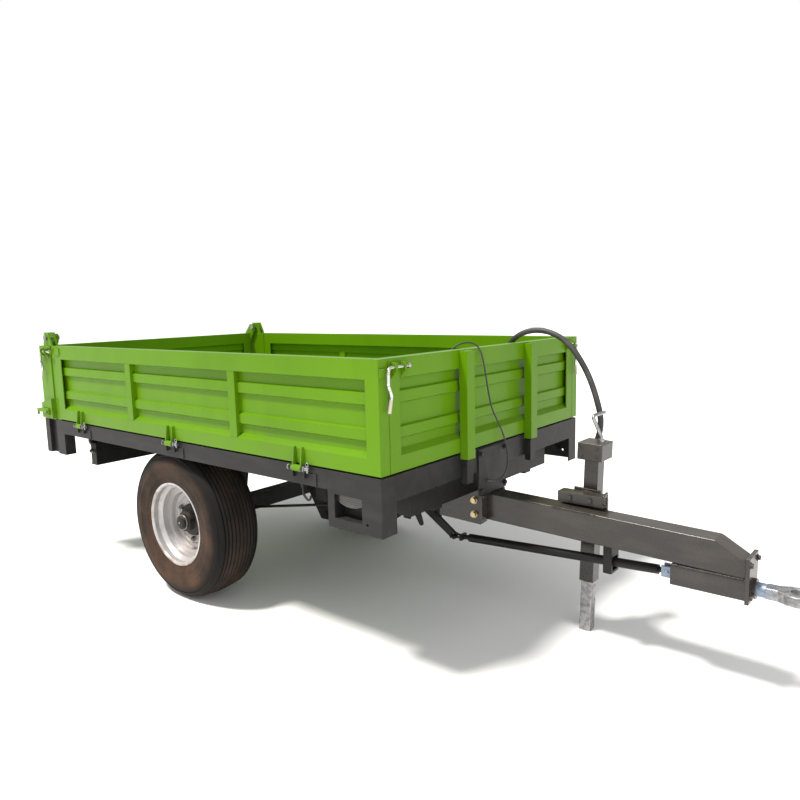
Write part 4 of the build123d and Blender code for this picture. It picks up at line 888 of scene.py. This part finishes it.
@dataclass
class Tyre:
    """A ribbed implement tyre: its section is spun about the axle."""

    hand: str
    side: int
    axle: tuple[float, float]
    centre_y: float
    radius: float
    half_width: float
    steps: int = 96

    def section(self) -> list[tuple[float, float]]:
        """Return the outer half section as radius and outward distance, from the crown to the bead."""
        crown = self.radius
        profile = [(crown - 0.0004, 0.0)]
        for start, width, depth, drop in ((0.008, 0.006, 0.012, 0.0005), (0.029, 0.006, 0.012, 0.0015),
                                          (0.050, 0.006, 0.012, 0.0030), (0.070, 0.0055, 0.011, 0.0052),
                                          (0.088, 0.005, 0.009, 0.0088)):
            rim = crown - drop
            profile += [(rim, start - 0.0015), (rim - 0.0016, start), (rim - depth, start + 0.0018)]
            profile += [(rim - depth, start + width - 0.0018), (rim - 0.0022, start + width)]
            profile += [(rim - 0.0008, start + width + 0.0015)]
        profile += [(crown - 0.012, 0.099), (crown - 0.020, 0.109), (crown - 0.032, 0.1165)]
        profile += [(crown - 0.0335, 0.1195), (crown - 0.038, 0.1195), (crown - 0.0395, 0.1185)]
        profile += [(0.332, 0.1275), (0.315, 0.1305), (0.298, 0.1312), (0.296, 0.1319), (0.288, 0.1319)]
        profile += [(0.286, 0.1311), (0.266, 0.1295), (0.248, 0.1255), (0.246, 0.1259), (0.240, 0.1242)]
        profile += [(0.238, 0.1229), (0.226, 0.1185), (0.2145, 0.1155), (0.2125, 0.1148)]
        return profile

    def build(self, finish: bpy.types.Material) -> None:
        """Spin, mirror and dress the tyre."""
        half = self.section()
        whole = [(reach, -out) for reach, out in reversed(half[1:])] + half
        whole += [(0.206, 0.1105), (0.206, 0.088), (0.226, 0.085), (0.3, 0.111), (0.36, 0.1)]
        whole += [(0.36, -0.1), (0.3, -0.111), (0.226, -0.085), (0.206, -0.088), (0.206, -0.1105)]
        centre_x, centre_z = self.axle
        points = [(centre_x, self.centre_y + self.side * out, centre_z + reach) for reach, out in whole]
        Shop.clear()
        bpy.ops.mesh.primitive_circle_add(vertices=len(points), radius=self.half_width)
        tyre = Shop.active(f"{self.hand}_road_tyre")
        for corner, point in zip(tyre.data.vertices, points):
            corner.co = point
        bpy.ops.object.mode_set(mode="EDIT")
        bpy.ops.mesh.select_all(action="SELECT")
        bpy.ops.mesh.spin(
            steps=self.steps, angle=math.tau, center=(centre_x, self.centre_y, centre_z), axis=(0, 1, 0)
        )
        bpy.ops.mesh.select_all(action="SELECT")
        bpy.ops.mesh.remove_doubles(threshold=0.00005)
        bpy.ops.mesh.normals_make_consistent(inside=False)
        bpy.ops.object.mode_set(mode="OBJECT")
        Shop.settle(tyre)
        Shop.dress(tyre, finish, "tyre", f"{self.hand}_wheel")
        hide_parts(f"{self.hand}_tyre")


@dataclass
class WheelTrim:
    """Small pieces of one wheel: the valve, the hub cap's ring and its grease nipple."""

    hand: str
    side: int
    axle: tuple[float, float]
    centre_y: float
    outer_face: float

    def build(self, brass: bpy.types.Material, black: bpy.types.Material) -> None:
        """Make and dress the trim."""
        out = Vector((0, self.side, 0))
        base = Vector((self.axle[0] + 0.172, self.centre_y + self.side * 0.052, self.axle[1] + 0.04))
        Shop.clear()
        bpy.ops.mesh.primitive_cone_add(
            vertices=16, radius1=0.0085, radius2=0.0052, depth=0.024, location=base,
            rotation=Shop.towards(out),
        )
        rubber = Shop.active("valve_base")
        bpy.ops.mesh.primitive_cylinder_add(
            vertices=14, radius=0.0042, depth=0.03, location=base + out * 0.02, rotation=Shop.towards(out)
        )
        stem = Shop.active("valve_cap")
        bpy.ops.object.mode_set(mode="EDIT")
        bpy.ops.mesh.select_all(action="SELECT")
        bpy.ops.mesh.bevel(offset=0.001, segments=2, affect="EDGES")
        bpy.ops.object.mode_set(mode="OBJECT")
        valve = Shop.join([rubber, stem], f"{self.hand}_tyre_valve")
        Shop.dress(valve, black, "cord_black", f"{self.hand}_wheel")
        cap = Vector((self.axle[0], self.outer_face, self.axle[1]))
        bpy.ops.mesh.primitive_torus_add(
            major_radius=0.037, minor_radius=0.0022, major_segments=40, minor_segments=10,
            location=cap - out * 0.020, rotation=Shop.towards(out),
        )
        ring = Shop.active("cap_ring")
        bpy.ops.mesh.primitive_cone_add(
            vertices=12, radius1=0.006, radius2=0.003, depth=0.007, location=cap - out * 0.0005,
            rotation=Shop.towards(out),
        )
        nipple = Shop.active("cap_nipple")
        trim = Shop.join([ring, nipple], f"{self.hand}_hub_trim")
        Shop.dress(trim, brass, "zinc", f"{self.hand}_wheel")


@dataclass
class Clips:
    """Spring clips through the board hinge pins, each a round eye and two legs."""

    wire: float = 0.0017

    def build(self, places: Sequence[Point], finish: bpy.types.Material) -> None:
        """Make one clip for each place."""
        made = []
        for number, place in enumerate(places):
            x, y, z = place
            Shop.clear()
            bpy.ops.mesh.primitive_torus_add(
                major_radius=0.0075, minor_radius=self.wire, major_segments=24, minor_segments=8,
                location=(x, y, z + 0.0195), rotation=(math.pi / 2, 0, 0),
            )
            made.append(Shop.active(f"clip_eye_{number}"))
            for lean in (-0.0035, 0.0035):
                foot, top = Vector((x + lean, y, z - 0.014)), Vector((x + lean * 1.6, y, z + 0.0135))
                bpy.ops.mesh.primitive_cylinder_add(
                    vertices=8, radius=self.wire, depth=(top - foot).length, location=(foot + top) / 2,
                    rotation=Shop.towards(top - foot),
                )
                made.append(Shop.active(f"clip_leg_{number}"))
        clips = Shop.join(made, "hinge_spring_clips")
        Shop.dress(clips, finish, "zinc", "bed")


@dataclass
class Ferrule:
    """A crimped ferrule on the hose's lower end, with its swivel nut."""

    foot: Point
    hose_radius: float = 0.013

    def build(self, finish: bpy.types.Material) -> None:
        """Make the ferrule and its nut."""
        x, y, z = self.foot
        Shop.clear()
        bpy.ops.mesh.primitive_cylinder_add(
            vertices=40, radius=self.hose_radius + 0.0028, depth=0.042, location=(x, y, z + 0.024)
        )
        sleeve = Shop.active("sleeve")
        bpy.ops.object.mode_set(mode="EDIT")
        bpy.ops.mesh.select_all(action="SELECT")
        for height in (0.010, 0.014, 0.020, 0.024, 0.030, 0.034, 0.040):
            bpy.ops.mesh.bisect(plane_co=(x, y, z + height), plane_no=(0, 0, 1))
            bpy.ops.mesh.select_all(action="SELECT")
        bpy.ops.object.mode_set(mode="OBJECT")
        for corner in sleeve.data.vertices:
            level = corner.co.z + 0.024
            squeezed = any(low - 0.0005 < level < high + 0.0005 for low, high in
                           ((0.010, 0.014), (0.020, 0.024), (0.030, 0.034)))
            if squeezed:
                corner.co.x *= 0.93
                corner.co.y *= 0.93
        bpy.ops.mesh.primitive_cylinder_add(
            vertices=6, radius=0.0165, depth=0.014, location=(x, y, z - 0.004)
        )
        nut = Shop.active("nut")
        bpy.ops.object.mode_set(mode="EDIT")
        bpy.ops.mesh.select_all(action="SELECT")
        bpy.ops.mesh.bevel(offset=0.001, segments=2, affect="EDGES")
        bpy.ops.object.mode_set(mode="OBJECT")
        Shop.dress(Shop.join([sleeve, nut], "hose_ferrule"), finish, "zinc", "bed")


@dataclass
class CablePassage:
    """The rubber grommet in the front plate and the cable's tapered strain relief."""

    exit: Point
    towards: Point

    def build(self, finish: bpy.types.Material) -> None:
        """Make the grommet and the relief."""
        start = Vector(self.exit)
        way = (Vector(self.towards) - start).normalized()
        Shop.clear()
        bpy.ops.mesh.primitive_torus_add(
            major_radius=0.0098, minor_radius=0.0028, major_segments=32, minor_segments=10,
            location=start + Vector((0.0048, 0, 0)), rotation=(0, math.pi / 2, 0),
        )
        grommet = Shop.active("grommet")
        bpy.ops.mesh.primitive_cone_add(
            vertices=24, radius1=0.0078, radius2=0.0042, depth=0.028, location=start + way * 0.017,
            rotation=Shop.towards(way),
        )
        relief = Shop.active("relief")
        bpy.ops.object.mode_set(mode="EDIT")
        bpy.ops.mesh.select_all(action="SELECT")
        bpy.ops.mesh.bevel(offset=0.0012, segments=2, affect="EDGES")
        bpy.ops.object.mode_set(mode="OBJECT")
        Shop.dress(Shop.join([grommet, relief], "cable_grommet"), finish, "plug_black", "bed")


# ------------------------------------------------------------------ the trailer
@dataclass
class Trailer:
    """The whole trailer: dresses the frame's nodes and adds the small fittings."""

    frame: dict
    finishes: dict[str, bpy.types.Material] = field(default_factory=dict)

    def __post_init__(self) -> None:
        """Read the driving sizes from the frame."""
        self.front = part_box("front_wall")[1].x
        self.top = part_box("front_wall")[1].z
        tyre_low, tyre_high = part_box("left_tyre")
        self.axle = ((tyre_low.x + tyre_high.x) / 2, (tyre_low.z + tyre_high.z) / 2)
        self.tyre_radius = (tyre_high.x - tyre_low.x) / 2
        self.tyre_half = (tyre_high.y - tyre_low.y) / 2
        self.wheel_y = (tyre_low.y + tyre_high.y) / 2
        self.bed_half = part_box("skirt_rails")[1].y
        self.hose_foot = (self.front + 0.340, 0.250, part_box("hose_pipe")[1].z + 0.0003)
        self.hose_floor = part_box("bed_floor")[1].z + 0.0135

    def mix_finishes(self) -> None:
        """Build each finish once."""
        rim_radius = (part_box("left_rim")[1].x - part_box("left_rim")[0].x) / 2
        green, green_shade = (0.1, 0.235, 0.0006), (0.084, 0.2, 0.0004)
        made = {
            "green": BoothPaint("lime_enamel", green, green_shade, dust_most=0.04, coat=0.08),
            "green_weld": BoothPaint("lime_enamel_on_weld", green, green_shade, dust_most=0.04, coat=0.08,
                                     chips=2.0),
            "grey": FramePaint("frame_grey_paint", (0.011, 0.011, 0.012), (0.018, 0.018, 0.018),
                               dust_most=0.1),
            "drawbar": FramePaint("drawbar_grey_paint", (0.022, 0.019, 0.017), (0.034, 0.029, 0.026),
                                  dust_most=0.12, gloss=0.2, rust=0.62, sheen=0.5),
            "galvanised": PlatedSteel("leg_galvanising", (0.42, 0.42, 0.43), (0.24, 0.24, 0.25), 0.42,
                                      tarnish_from=0.74),
            "black": FramePaint("chassis_black_paint", (0.003, 0.003, 0.003), (0.006, 0.006, 0.006),
                                dust_most=0.08),
            "zinc": PlatedSteel("bright_zinc", (0.4, 0.4, 0.4), (0.24, 0.25, 0.25)),
            "yellow_zinc": PlatedSteel("yellow_zinc", (0.58, 0.47, 0.24), (0.5, 0.42, 0.32), 0.34),
            "chrome": PlatedSteel("hard_chrome", (0.72, 0.73, 0.75), (0.62, 0.63, 0.66), 0.1,
                                  tarnish_from=0.8),
            "brass": PlatedSteel("turned_brass", (0.62, 0.47, 0.22), (0.5, 0.36, 0.16), 0.3),
            "handle": HandleSteel(),
            "forged": ForgedEye(shaft_front=self.front + 1.10),
            "rim": WheelPaint("wheel_silver", self.axle, rim_radius),
            "tyre": TyreRubber("tyre_rubber", self.axle, self.tyre_radius),
            "hub": FramePaint("hub_black_paint", (0.006, 0.006, 0.006), (0.014, 0.012, 0.01), dust_most=0.35),
            "red_lens": MouldedPlastic("red_lens", (0.4, 0.008, 0.006), 0.18, 0.006,
                                       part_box("rear_lamps")[1].x - 0.0142),
            "dark_lens": MouldedPlastic("smoked_lens", (0.02, 0.019, 0.018), 0.2, 0.008),
            "plastic": MouldedPlastic("black_moulding", (0.018, 0.018, 0.019), 0.4),
            "load_floor": FloorPaint(),
        }
        self.finishes = {key: value.build() for key, value in made.items()}

    def dress_nodes(self) -> None:
        """Give every carried-over node its finish."""
        chosen = {
            "green": ["front_wall", "front_posts", "right_board", "left_board", "rear_pillars", "tailgate",
                      "latch_brackets", "right_gate_lock", "left_gate_lock"],
            "grey": ["skirt_rails", "front_corner_brackets", "rear_corner_brackets", "front_skirt_plates"],
            "drawbar": ["drawbar_tube", "overrun_housing", "jack_bracket", "jack_tube", "jack_head",
                        "drawbar_socket"],
            "galvanised": ["jack_leg"],
            "black": ["chassis_frame", "axle_beam", "bed_bearers", "push_rod_guide", "push_rod", "bell_crank",
                      "right_brake_rod", "left_brake_rod", "right_brake_lever", "left_brake_lever",
                      "ram_barrel", "hose_pipe"],
            "zinc": ["board_hinge_pins", "pivot_pins", "right_wheel_nuts", "left_wheel_nuts", "jack_crank"],
            "yellow_zinc": ["drawbar_bolts"],
            "chrome": ["ram_stage_1", "ram_stage_2", "ram_rod"],
            "handle": ["front_right_latch", "front_left_latch", "rear_right_latch", "rear_left_latch"],
            "forged": ["tow_shaft"],
            "rim": ["right_rim", "left_rim"],
            "hub": ["right_hub", "left_hub"],
            "tyre": ["right_tyre", "left_tyre"],
            "red_lens": ["rear_lamps"],
            "dark_lens": ["marker_lamps"],
            "plastic": ["cable_plug", "cable", "hose", "hose_coil"],
            "brass": ["hose_coupler"],
            "load_floor": ["bed_floor"],
        }
        for key, names in chosen.items():
            for name in names:
                data = self.frame["nodes"][name].data
                data.materials.clear()
                data.materials.append(self.finishes[key])
                LOG.info("node %s is dressed in %s", name, key)

    def add_wheels(self) -> None:
        """Replace the tyres and trim the wheels."""
        for side, hand in ((-1, "right"), (1, "left")):
            centre = side * self.wheel_y
            Tyre(hand, side, self.axle, centre, self.tyre_radius, self.tyre_half).build(self.finishes["tyre"])
            low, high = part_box(f"{hand}_hub")
            outer = high.y if side > 0 else low.y
            trim = WheelTrim(hand, side, self.axle, centre, outer)
            trim.build(self.finishes["zinc"], self.finishes["plastic"])

    def add_bolts(self) -> None:
        """Add the bolts of the bed, chassis and jack."""
        front = self.front
        bed = []
        for y in (-0.150, 0.047):
            bed.append(((front + 0.006, y, 0.80), (1, 0, 0)))
            bed.append(((front + 0.006, y, 0.635), (1, 0, 0)))
        fasten = Bolts()
        Shop.dress(fasten.set_of("bed_bolts", bed), self.finishes["grey"], "frame_grey", "bed")
        beam_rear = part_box("chassis_frame")[0].x
        chassis = []
        for side in (-1, 1):
            for x in (-0.045, -0.018):
                chassis.append(((beam_rear + 0.060 + x, side * 0.70, 0.64), (0, side, 0)))
            for z in (0.492, 0.590):
                chassis.append(((front - 0.026, side * 0.082, z), (1, 0, 0)))
            for z in (0.385, 0.505):
                chassis.append(((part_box("overrun_housing")[0].x + 0.279, side * 0.051, z), (1, 0, 0)))
        Shop.dress(fasten.set_of("chassis_bolts", chassis), self.finishes["drawbar"], "frame_grey", "chassis")
        head_low, head_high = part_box("jack_head")
        middle = (head_low + head_high) / 2
        jack = []
        for x in (-0.034, 0.034):
            for z in (-0.018, 0.02):
                jack.append(((middle.x + x, head_low.y + 0.0005, middle.z + z), (0, -1, 0)))
        small = Bolts(across=0.010, head=0.004, washer=0.0012)
        Shop.dress(small.set_of("jack_screws", jack), self.finishes["drawbar"], "frame_grey", "jack")

    def add_welds(self) -> None:
        """Run the welds that show on the drawbar, sockets, posts and brackets."""
        front = self.front
        seam = WeldSeam()
        chassis = []
        for side in (-1, 1):
            y = side * 0.0625
            chassis.append(((front - 0.034, y, 0.478), (front - 0.034, y, 0.608)))
            chassis.append(((front + 1.051, side * 0.050, 0.452), (front + 1.051, side * 0.050, 0.506)))
            chassis.append(((front + 0.294, side * 0.050, 0.590), (front + 0.488, side * 0.050, 0.585)))
        chassis.append(((front + 1.051, -0.048, 0.509), (front + 1.051, 0.048, 0.509)))
        chassis.append(((front + 0.79, -0.049, 0.447), (front + 1.048, -0.049, 0.447)))
        Shop.dress(seam.run("chassis_welds", chassis), self.finishes["drawbar"], "frame_grey", "chassis")
        bed = []
        for y in (-0.268, 0.268):
            for edge in (-0.0285, 0.0285):
                for low in (0.84, 0.98, 1.12):
                    bed.append(((front + 0.001, y + edge, low), (front + 0.001, y + edge, low + 0.03)))
        posts = WeldSeam(0.003, 0.0036).run("post_welds", bed)
        Shop.dress(posts, self.finishes["green_weld"], "body_green", "bed")

    def add_fittings(self) -> None:
        """Add the clips, the hose ferrule and the cable's passage."""
        places = []
        for offset in (0.396, 1.300, 2.191):
            for side in (-1, 1):
                places.append((self.front - offset + 0.022, side * 0.815, 0.815))
        Clips().build(places, self.finishes["zinc"])
        Ferrule(self.hose_foot).build(self.finishes["zinc"])
        exit_point = (self.front + 0.002, -0.094, 0.668)
        CablePassage(exit_point, (self.front + 0.036, -0.066, 0.668)).build(self.finishes["plastic"])


def main() -> None:
    """Build the trailer in order."""
    logging.basicConfig(level=logging.INFO, format="%(name)s: %(message)s")
    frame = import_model()
    trailer = Trailer(frame)
    studio = Studio(trailer.front, trailer.top)
    studio.camera()
    Cords(trailer.front, trailer.hose_foot, trailer.hose_floor).build(frame["nodes"])
    studio.floor()
    studio.lights()
    trailer.mix_finishes()
    trailer.dress_nodes()
    trailer.add_wheels()
    trailer.add_bolts()
    trailer.add_welds()
    trailer.add_fittings()


if __name__ == "__main__":
    main()
